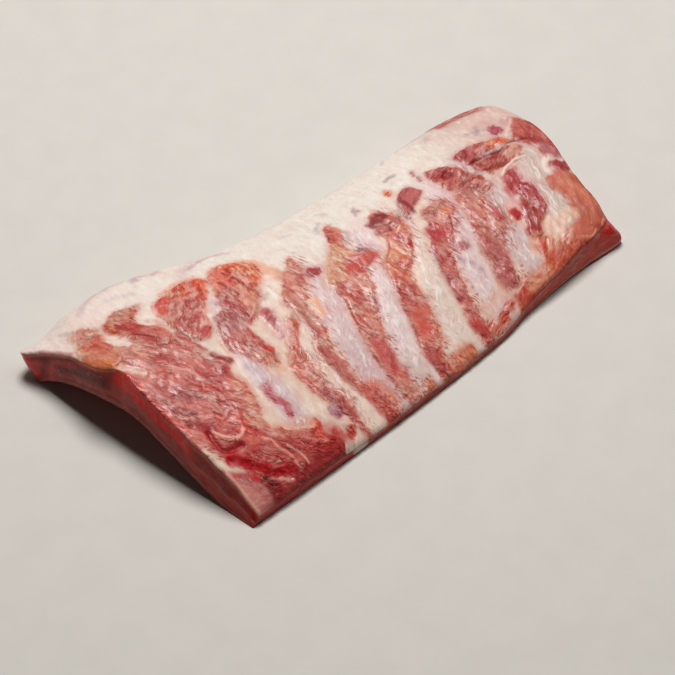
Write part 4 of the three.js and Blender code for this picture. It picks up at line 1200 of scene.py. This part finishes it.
def buildSlab():
    nu, nw = slab["stepsAlong"], slab["stepsAcross"]
    top, topPaint, foot, ridge = slabGrids()
    rows, wallPaints = makeWalls(top, topPaint, foot)
    wallStart = (nu + 1) * (nw + 1)
    footStart = wallStart + 2 * (nu + nw) * len(rows)
    points = np.concatenate([top.reshape(-1, 3)] + rows + [foot.reshape(-1, 3)])
    faces = slabFaces(nu, nw, nu // 2, nw // 2, wallStart, footStart)
    return meshFrom("rack_meat", points, faces, slabPaint(top, topPaint, wallPaints, foot, ridge))


def ribPath(line):  # evenly spaced places along a rib, its direction there, and the millimetres passed
    ys = np.linspace(line[0][1], line[-1][1], 400)
    xs = curve([(p[1], p[0]) for p in line], ys)
    passed = np.concatenate([[0], np.cumsum(np.hypot(np.diff(xs), np.diff(ys)))])
    at = np.linspace(0, passed[-1], ribs["steps"] + 1)
    px, py = np.interp(at, passed, xs), np.interp(at, passed, ys)
    dx, dy = np.gradient(px), np.gradient(py)
    size = np.hypot(dx, dy)
    return px, py, dx / size, dy / size, at


def barFaces(steps, sides):  # rings of a bar, closed by a fan to a point at each end
    faces = []
    for i in range(steps):
        for k in range(sides):
            a, b = i * sides + k, i * sides + (k + 1) % sides
            faces.append((a, a + sides, b + sides, b))
    nearTip, farTip, lastRing = (steps + 1) * sides, (steps + 1) * sides + 1, steps * sides
    for k in range(sides):
        faces.append((nearTip, k, (k + 1) % sides))
        faces.append((farTip, lastRing + (k + 1) % sides, lastRing + k))
    return faces


def buildRib(number, line):
    steps, sides = ribs["steps"], ribs["sides"]
    px, py, dx, dy, at = ribPath(line)
    tip = np.minimum(at, at[-1] - at) / (at[-1] * ribs["taperShare"])
    rounded = np.sqrt(np.clip(1 - (1 - np.clip(tip, 0, 1)) ** 2, 0, 1))
    taper = ribs["endFactor"] + (1 - ribs["endFactor"]) * rounded
    sink = ribs["buried"] * (1 - ease((at[-1] - at) / ribs["tipLength"]))
    angle = 2 * np.pi * np.arange(sides) / sides
    c, s = np.cos(angle), np.sin(angle)
    halfWidth, halfHigh = ribs["width"] / 2, ribs["thickness"] / 2
    side = np.sign(c) * abs(c) ** (2 / ribs["power"]) * halfWidth
    lift = np.sign(s) * abs(s) ** (2 / ribs["power"]) * halfHigh
    x = px[:, None] + dy[:, None] * side * taper[:, None]
    y = py[:, None] - dx[:, None] * side * taper[:, None]
    paint = paintPlan(x, y)
    bare = dict(paint, share=paint["share"] - 20)
    cover = topHeight(x, acrossAt(x, y)) + ribs["swell"] * paint["swell"] - slab["sunk"]
    cover = cover + fineRelief(x, y, bare)
    z = cover + ribs["proud"] - paint["fold"] - halfHigh + lift * taper[:, None] - sink[:, None]
    points = np.stack([x, y, z], -1).reshape(-1, 3)
    reach = ribs["capReach"]
    caps = [points[:sides].mean(0) - [dx[0] * reach, dy[0] * reach, 0],
            points[-sides:].mean(0) + [dx[-1] * reach, dy[-1] * reach, 0]]
    kept = numberLayers + colorLayers + ("grain",)
    flat = {name: paint[name].reshape((-1,) + paint[name].shape[2:]) for name in kept}
    flat["grain"] = grainPlace(*points.T, flat["grain"])
    flat = {name: np.concatenate([part, part[-1:], part[-1:]]) for name, part in flat.items()}
    return meshFrom("rib_%d" % number, np.concatenate([points, caps]), barFaces(steps, sides), flat)


# Materials. Patterns on the fibres' grain are sized per mm, along, across and down.
surface = {
    "bends": ((0.06, 24.0), (0.16, 4.0)),  # how the grain wanders: size and how far, mm
    "strands": 0.14,
    "lumps": (0.13, 0.34, 0.34),
    "bundles": (0.18, 0.42, 0.42),
    "grit": (620, 620, 620),  # this and the other patterns on the object's own place are per metre
    "inColour": (0.06, 0.52, 0.22, -0.30),  # shares of strands, lumps, grit and bundles
    "inRelief": (0.08, 0.6, 0.15, -0.25),
    "colourBase": 0.24,
    "reliefBase": 0.12,
    "meatRelief": 4.5,
    "fatRelief": 0.6,
    "foldRelief": 2.0,
    "calmPatches": (0.05, 0.09, 0.09),
    "calm": 0.5,  # how much of the fibres shows where the meat is smoothest
    "lively": 1.3,  # and where it is roughest
    "redder": (1.03, 1.08, 1.02, 1),
    # painted shade in the fibres' grooves and a painted highlight on their crests
    "grooveShade": (0.78, 0.44, 0.47, 1),
    "crestHighlight": (1.06, 1.38, 1.34, 1),
    "crestHighlightAdded": (0.05, 0.048, 0.042, 1),
    "bloodPatches": (0.05, 0.10, 0.10),
    "blood": (0.88, 0.55, 0.58, 1),
    "filmPatches": (0.06, 0.16, 0.16),
    "film": 0.55,
    "filmTone": (0.74, 0.46, 0.40, 1),
    "streaks": (260, 90, 200),
    "clouds": (60, 45, 60),
    "blush": (0.97, 0.86, 0.86, 1),
    "vein": (0.86, 0.70, 0.74, 1),
    "wax": (0.90, 0.85, 0.78, 1),
    "ribTurn": -1.17,  # the membrane's folds lie along the ribs
    "folds": (0.08, 0.36, 0.36),
    # painted shade along the membrane's fold lines and a painted highlight on their crests
    "foldShade": (0.72, 0.54, 0.66, 1),
    "membraneGlint": (0.92, 0.88, 0.85, 1),
    "feather": 3.5,  # how unevenly the meat ends, mm
    "combReach": 6.5,  # how far its fibres comb out over the ribs, mm
    "wander": 7.0,
    "shine": 0.30,  # how strongly meat shines through thin fat
    "stroke": (0.34, 0.12, 0.14, 1),
    "creaseShadeTint": (0.40, 0.11, 0.11, 1),
    "bumpDepth": 0.0005,
    "subsurface": 0.12,
    "coat": 0.08,
    "meatCoat": 0.24,
    "specular": 0.22,
}


def addNode(tree, kind, settings=None, inputs=None):
    made = tree.nodes.new(kind)
    for name, value in (settings or {}).items():
        setattr(made, name, value)
    for name, value in (inputs or {}).items():
        if isinstance(value, bpy.types.NodeSocket):
            tree.links.new(value, made.inputs[name])
        else:
            made.inputs[name].default_value = value
    return made


def readAttribute(tree, name, output):
    return addNode(tree, "ShaderNodeAttribute", {"attribute_name": name}).outputs[output]


def math(tree, operation, a, b=0.0, c=0.0):
    made = addNode(tree, "ShaderNodeMath", {"operation": operation}, {0: a, 1: b})
    if operation == "MULTIPLY_ADD":
        addNodeInput(tree, made, 2, c)
    return made.outputs[0]


def times(tree, a, b):
    return math(tree, "MULTIPLY", a, b)


def vectorMath(tree, operation, a, b):
    return addNode(tree, "ShaderNodeVectorMath", {"operation": operation}, {0: a, 1: b}).outputs[0]


def addNodeInput(tree, made, index, value):
    if isinstance(value, bpy.types.NodeSocket):
        tree.links.new(value, made.inputs[index])
    else:
        made.inputs[index].default_value = value


def mixColor(tree, factor, a, b, blend="MIX"):
    made = addNode(tree, "ShaderNodeMix", {"data_type": "RGBA", "blend_type": blend})
    for index, value in ((0, factor), (6, a), (7, b)):
        addNodeInput(tree, made, index, value)
    return made.outputs[2]


def ramp(tree, value, low, high, outLow=0.0, outHigh=1.0):
    made = addNode(tree, "ShaderNodeMapRange", {"interpolation_type": "SMOOTHSTEP"},
                   {"Value": value, "From Min": low, "From Max": high, "To Min": outLow, "To Max": outHigh})
    return made.outputs["Result"]


def bent(tree, place, scale, reach):
    push = addNode(tree, "ShaderNodeTexNoise", inputs={"Vector": place, "Scale": scale, "Detail": 1.0})
    centred = vectorMath(tree, "SUBTRACT", push.outputs["Color"], (0.5, 0.5, 0.5))
    scaled = addNode(tree, "ShaderNodeVectorMath", {"operation": "SCALE"}, {0: centred, "Scale": reach})
    return vectorMath(tree, "ADD", vectorMath(tree, "MULTIPLY", scaled.outputs[0], (1, 1, 0)), place)


def stretched(tree, place, scale, shiftBy=None):
    vector = vectorMath(tree, "MULTIPLY", place, scale)
    return vector if shiftBy is None else vectorMath(tree, "ADD", vector, shiftBy)


def noise(tree, place, scale, detail=2.0, roughness=0.5, swirl=0.0):
    return addNode(tree, "ShaderNodeTexNoise", inputs={
        "Vector": place, "Scale": scale, "Detail": detail, "Roughness": roughness, "Distortion": swirl,
    }).outputs["Fac"]


def tinted(tree, color, tint):
    return mixColor(tree, 1.0, color, tint, "MULTIPLY")


def summed(tree, parts, shares, total):
    for part, share in zip(parts, shares):
        total = math(tree, "MULTIPLY_ADD", part, share, total)
    return total


def fibreParts(tree, bentGrain, place):  # strands, lumps, grit and bundles
    strands = addNode(tree, "ShaderNodeTexWave", {"bands_direction": "Y"}, {
        "Vector": bentGrain, "Scale": surface["strands"], "Distortion": 7.0,
        "Detail": 1.0, "Detail Scale": 1.8,
    }).outputs["Fac"]
    lumps = noise(tree, stretched(tree, bentGrain, surface["lumps"]), 1.0, 2.0, 0.55, 0.4)
    grit = noise(tree, stretched(tree, place, surface["grit"]), 1.0, 2.0, 0.6)
    bundles = addNode(tree, "ShaderNodeTexVoronoi", inputs={
        "Vector": stretched(tree, bentGrain, surface["bundles"]), "Scale": 1.0, "Randomness": 1.0,
    }).outputs["Distance"]
    return strands, lumps, grit, bundles


def meatColor(tree, tint, field, fibres, bentGrain):
    redder = tinted(tree, tint, surface["redder"])
    # painted shade in the grooves between fibres, painted highlight on the crests
    shadedValley = tinted(tree, redder, surface["grooveShade"])
    crestHighlight = mixColor(tree, 1.0, tinted(tree, redder, surface["crestHighlight"]), surface["crestHighlightAdded"], "ADD")
    meat = mixColor(tree, times(tree, ramp(tree, field, 0.51, 0.38), fibres), redder, shadedValley)
    meat = mixColor(tree, times(tree, ramp(tree, field, 0.50, 0.64), fibres), meat, crestHighlight)
    blood = noise(tree, stretched(tree, bentGrain, surface["bloodPatches"]), 1.0, 2.0, 0.6)
    bloody = tinted(tree, meat, surface["blood"])
    meat = mixColor(tree, times(tree, ramp(tree, blood, 0.50, 0.64), fibres), meat, bloody)
    film = noise(tree, stretched(tree, bentGrain, surface["filmPatches"], (31, 17, 5)), 1.0, 3.0, 0.65)
    paleness = addNode(tree, "ShaderNodeSeparateColor", inputs={"Color": tint}).outputs["Green"]
    filmShare = ramp(tree, paleness, 0.03, 0.2, 0, surface["film"])
    filmShare = times(tree, ramp(tree, film, 0.50, 0.66), filmShare)
    return mixColor(tree, times(tree, filmShare, fibres), meat, surface["filmTone"])


def membraneFolds(tree, place):  # long soft folds, in millimetres along the ribs
    ribwise = addNode(tree, "ShaderNodeVectorRotate", {"rotation_type": "Z_AXIS"},
                      {"Vector": place, "Angle": surface["ribTurn"]})
    ribwise = stretched(tree, ribwise.outputs[0], (1000, 1000, 1000))
    return noise(tree, stretched(tree, bent(tree, ribwise, 0.09, 7.0), surface["folds"]), 1.0, 1.0, 0.5)


def paleColor(tree, tint, place, streak, folded, creasing):  # fat, and membrane over the ribs
    cloud = noise(tree, stretched(tree, place, surface["clouds"]), 1.0, 2.0)
    blush = tinted(tree, tint, surface["blush"])
    pale = mixColor(tree, times(tree, ramp(tree, cloud, 0.45, 0.7), 0.6), tint, blush)
    vein = tinted(tree, tint, surface["vein"])
    pale = mixColor(tree, times(tree, ramp(tree, streak, 0.5, 0.72), 0.5), pale, vein)
    pale = mixColor(tree, times(tree, ramp(tree, streak, 0.48, 0.3), 0.3), pale, surface["wax"])
    # painted shade along the fold lines and a painted highlight on the fold crests
    foldShadeShare = ramp(tree, math(tree, "ABSOLUTE", math(tree, "SUBTRACT", folded, 0.47)), 0.035, 0.0)
    foldLineShade = tinted(tree, tint, surface["foldShade"])
    pale = mixColor(tree, times(tree, foldShadeShare, 0.55 * creasing), pale, foldLineShade)
    glint = times(tree, ramp(tree, folded, 0.56, 0.68), 0.5 * creasing)
    return mixColor(tree, glint, pale, surface["membraneGlint"])


def meatEdge(tree, share, grain, comb, soft, place):  # how far inside the meat, with a ragged edge
    reach = math(tree, "SUBTRACT", noise(tree, stretched(tree, grain, (0.09, 0.5, 0.5)), 1.0, 2.0, 0.6), 0.5)
    wander = math(tree, "SUBTRACT", noise(tree, grain, 0.2, 3.0, 0.6), 0.5)
    hairs = noise(tree, stretched(tree, bent(tree, grain, 0.1, 5.0), (0.06, 0.75, 0.75)), 1.0, 1.0, 0.5)
    comb = times(tree, comb, ramp(tree, noise(tree, place, 55.0, 1.0), 0.40, 0.58, 0.25, 1.0))
    lashes = math(tree, "SUBTRACT", ramp(tree, hairs, 0.38, 0.64), 0.4)
    lashes = times(tree, times(tree, lashes, surface["combReach"]), comb)
    ragged = math(tree, "MULTIPLY_ADD", reach, surface["feather"], times(tree, wander, surface["wander"]))
    ragged = math(tree, "DIVIDE", ragged, math(tree, "MULTIPLY_ADD", soft, 0.4, 1.0))
    softer = math(tree, "MULTIPLY_ADD", comb, 1.3, math(tree, "MULTIPLY_ADD", soft, 0.7, 1.0))
    edge = math(tree, "DIVIDE", math(tree, "ADD", share, lashes), softer)
    edge = math(tree, "ADD", edge, ragged)
    strokes = times(tree, times(tree, ramp(tree, hairs, 0.52, 0.62), comb), ramp(tree, edge, -3.6, -1.2))
    return edge, strokes


def fleshMaterial(name, gloss, creasing):  # creasing is how strongly the membrane's fine folds show
    material = bpy.data.materials.new(name)
    material.use_nodes = True
    tree = material.node_tree
    shader = tree.nodes["Principled BSDF"]
    share, creaseShade, fibres, comb, swirl, soft = (readAttribute(tree, layer, "Fac") for layer in numberLayers)
    leanTint, fatTint = (readAttribute(tree, layer, "Color") for layer in colorLayers)
    grain = readAttribute(tree, "grain", "Vector")
    place = addNode(tree, "ShaderNodeTexCoord").outputs["Object"]

    # colour
    (wide, far), (narrow, less) = surface["bends"]
    bentGrain = bent(tree, bent(tree, grain, wide, times(tree, swirl, far)), narrow, less)
    parts = fibreParts(tree, bentGrain, place)
    calm = noise(tree, stretched(tree, bentGrain, surface["calmPatches"], (7, 43, 11)), 1.0, 1.0)
    fibres = times(tree, fibres, ramp(tree, calm, 0.36, 0.58, surface["calm"], surface["lively"]))
    field = summed(tree, parts, surface["inColour"], surface["colourBase"])
    meat = meatColor(tree, leanTint, field, fibres, bentGrain)
    streak = noise(tree, stretched(tree, place, surface["streaks"]), 1.0, 3.0, 0.6)
    folded = membraneFolds(tree, place)
    pale = paleColor(tree, fatTint, place, streak, folded, creasing)
    edge, strokes = meatEdge(tree, share, grain, comb, soft, place)
    meatShare = ramp(tree, edge, -1.4, 1.2)
    shine = times(tree, ramp(tree, edge, -4.5, 0.0), surface["shine"])
    color = mixColor(tree, shine, pale, leanTint)
    color = mixColor(tree, times(tree, strokes, 0.6), color, surface["stroke"])
    color = mixColor(tree, meatShare, color, meat)
    # painted shade in the creases and wrinkle valleys
    color = mixColor(tree, creaseShade, color, tinted(tree, color, surface["creaseShadeTint"]))
    tree.links.new(color, shader.inputs["Base Color"])

    # gloss
    wet = noise(tree, stretched(tree, place, (150, 150, 150)), 1.0, 2.0)
    tree.links.new(ramp(tree, wet, 0.35, 0.7, gloss[0], gloss[1]), shader.inputs["Roughness"])
    wetness = times(tree, times(tree, meatShare, fibres), surface["meatCoat"])
    tree.links.new(math(tree, "ADD", wetness, surface["coat"]), shader.inputs["Coat Weight"])
    for socket, value in (("Subsurface Weight", surface["subsurface"]), ("Subsurface Scale", 1.0),
                          ("Subsurface Radius", (0.004, 0.0015, 0.001)), ("Coat Roughness", 0.2),
                          ("Specular IOR Level", surface["specular"])):
        shader.inputs[socket].default_value = value

    # relief
    rough = math(tree, "SUBTRACT", summed(tree, parts, surface["inRelief"], surface["reliefBase"]), 0.5)
    meatHeight = times(tree, rough, times(tree, fibres, surface["meatRelief"]))
    paleHeight = times(tree, math(tree, "SUBTRACT", streak, 0.5), surface["fatRelief"])
    raised = math(tree, "SUBTRACT", folded, 0.5)
    paleHeight = math(tree, "MULTIPLY_ADD", raised, surface["foldRelief"] * creasing, paleHeight)
    height = addNode(tree, "ShaderNodeMix", {"data_type": "FLOAT"},
                     {0: meatShare, 2: paleHeight, 3: meatHeight})
    bump = addNode(tree, "ShaderNodeBump", inputs={
        "Strength": 1.0, "Distance": surface["bumpDepth"], "Height": height.outputs[0],
    })
    tree.links.new(bump.outputs[0], shader.inputs["Normal"])
    return material


meatLook = fleshMaterial("moist_meat_and_fat", (0.42, 0.6), 0.25)
ribLook = fleshMaterial("rib_under_membrane", (0.38, 0.55), 0.8)

rack = buildSlab()
rack.data.materials.append(meatLook)
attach(rack, "root")
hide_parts("meat")
print("slab made,", len(rack.data.polygons), "faces")

for number, line in enumerate(ribs["lines"], 1):
    rib = buildRib(number, line)
    rib.data.materials.append(ribLook)
    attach(rib, "root")
    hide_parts("rib_bone_%02d" % number)
print("ribs made")

# Floor, light and camera
studio = {
    "floorTone": tone(208, 202, 194),
    "floorHalf": 12,
    "keyPlace": (0.35, 0.5, 1.9),
    "keySize": 0.8,
    "keyPower": 38,
    "fillPlace": (0.5, -0.2, 2.0),
    "fillSize": 1.2,
    "fillPower": 8,
    "surround": 0.035,
    "cameraTarget": (-0.0264, -0.0253, 0.0),
    "cameraTurn": 45.3,
    "cameraRise": 46.5,
    "cameraReach": 2.448,
    "lens": 192,
}

floorMesh = bpy.data.meshes.new("floor")
half = studio["floorHalf"]
corners = [(-half, -half, 0), (half, -half, 0), (half, half, 0), (-half, half, 0)]
floorMesh.from_pydata(corners, [], [(0, 1, 2, 3)])
floor = bpy.data.objects.new("floor", floorMesh)
bpy.context.collection.objects.link(floor)
floorLook = bpy.data.materials.new("pale_floor")
floorLook.use_nodes = True
floorTree = floorLook.node_tree
floorShader = floorTree.nodes["Principled BSDF"]
grit = noise(floorTree, addNode(floorTree, "ShaderNodeTexCoord").outputs["Object"], 40.0, 3.0)
floorColor = mixColor(floorTree, ramp(floorTree, grit, 0.3, 0.7), (*studio["floorTone"], 1),
                      (*(studio["floorTone"] * 0.97), 1))
floorTree.links.new(floorColor, floorShader.inputs["Base Color"])
floorShader.inputs["Roughness"].default_value = 0.9
floorMesh.materials.append(floorLook)


def addLight(name, place, size, power, aim=(0, 0, 0.02)):
    light = bpy.data.lights.new(name, "AREA")
    light.shape = "DISK"
    light.size = size
    light.energy = power
    lamp = bpy.data.objects.new(name, light)
    lamp.location = place
    lamp.rotation_euler = (Vector(aim) - Vector(place)).to_track_quat("-Z", "Y").to_euler()
    bpy.context.collection.objects.link(lamp)
    return lamp


addLight("key", studio["keyPlace"], studio["keySize"], studio["keyPower"])
addLight("fill", studio["fillPlace"], studio["fillSize"], studio["fillPower"])

world = bpy.data.worlds.new("studio")
world.use_nodes = True
world.node_tree.nodes["Background"].inputs["Color"].default_value = (1.0, 0.985, 0.96, 1)
world.node_tree.nodes["Background"].inputs["Strength"].default_value = studio["surround"]
bpy.context.scene.world = world

turn, lift = np.radians(studio["cameraTurn"]), np.radians(studio["cameraRise"])
ahead = Vector((np.sin(turn) * np.cos(lift), np.cos(turn) * np.cos(lift), -np.sin(lift)))
view = bpy.data.cameras.new("camera")
view.lens = studio["lens"]
view.sensor_width = 36
view.clip_end = 50
camera = bpy.data.objects.new("camera", view)
camera.location = Vector(studio["cameraTarget"]) - ahead * studio["cameraReach"]
camera.rotation_euler = ahead.to_track_quat("-Z", "Y").to_euler()
bpy.context.collection.objects.link(camera)
bpy.context.scene.camera = camera
bpy.context.scene.view_settings.view_transform = "Standard"
print("lights and camera placed")
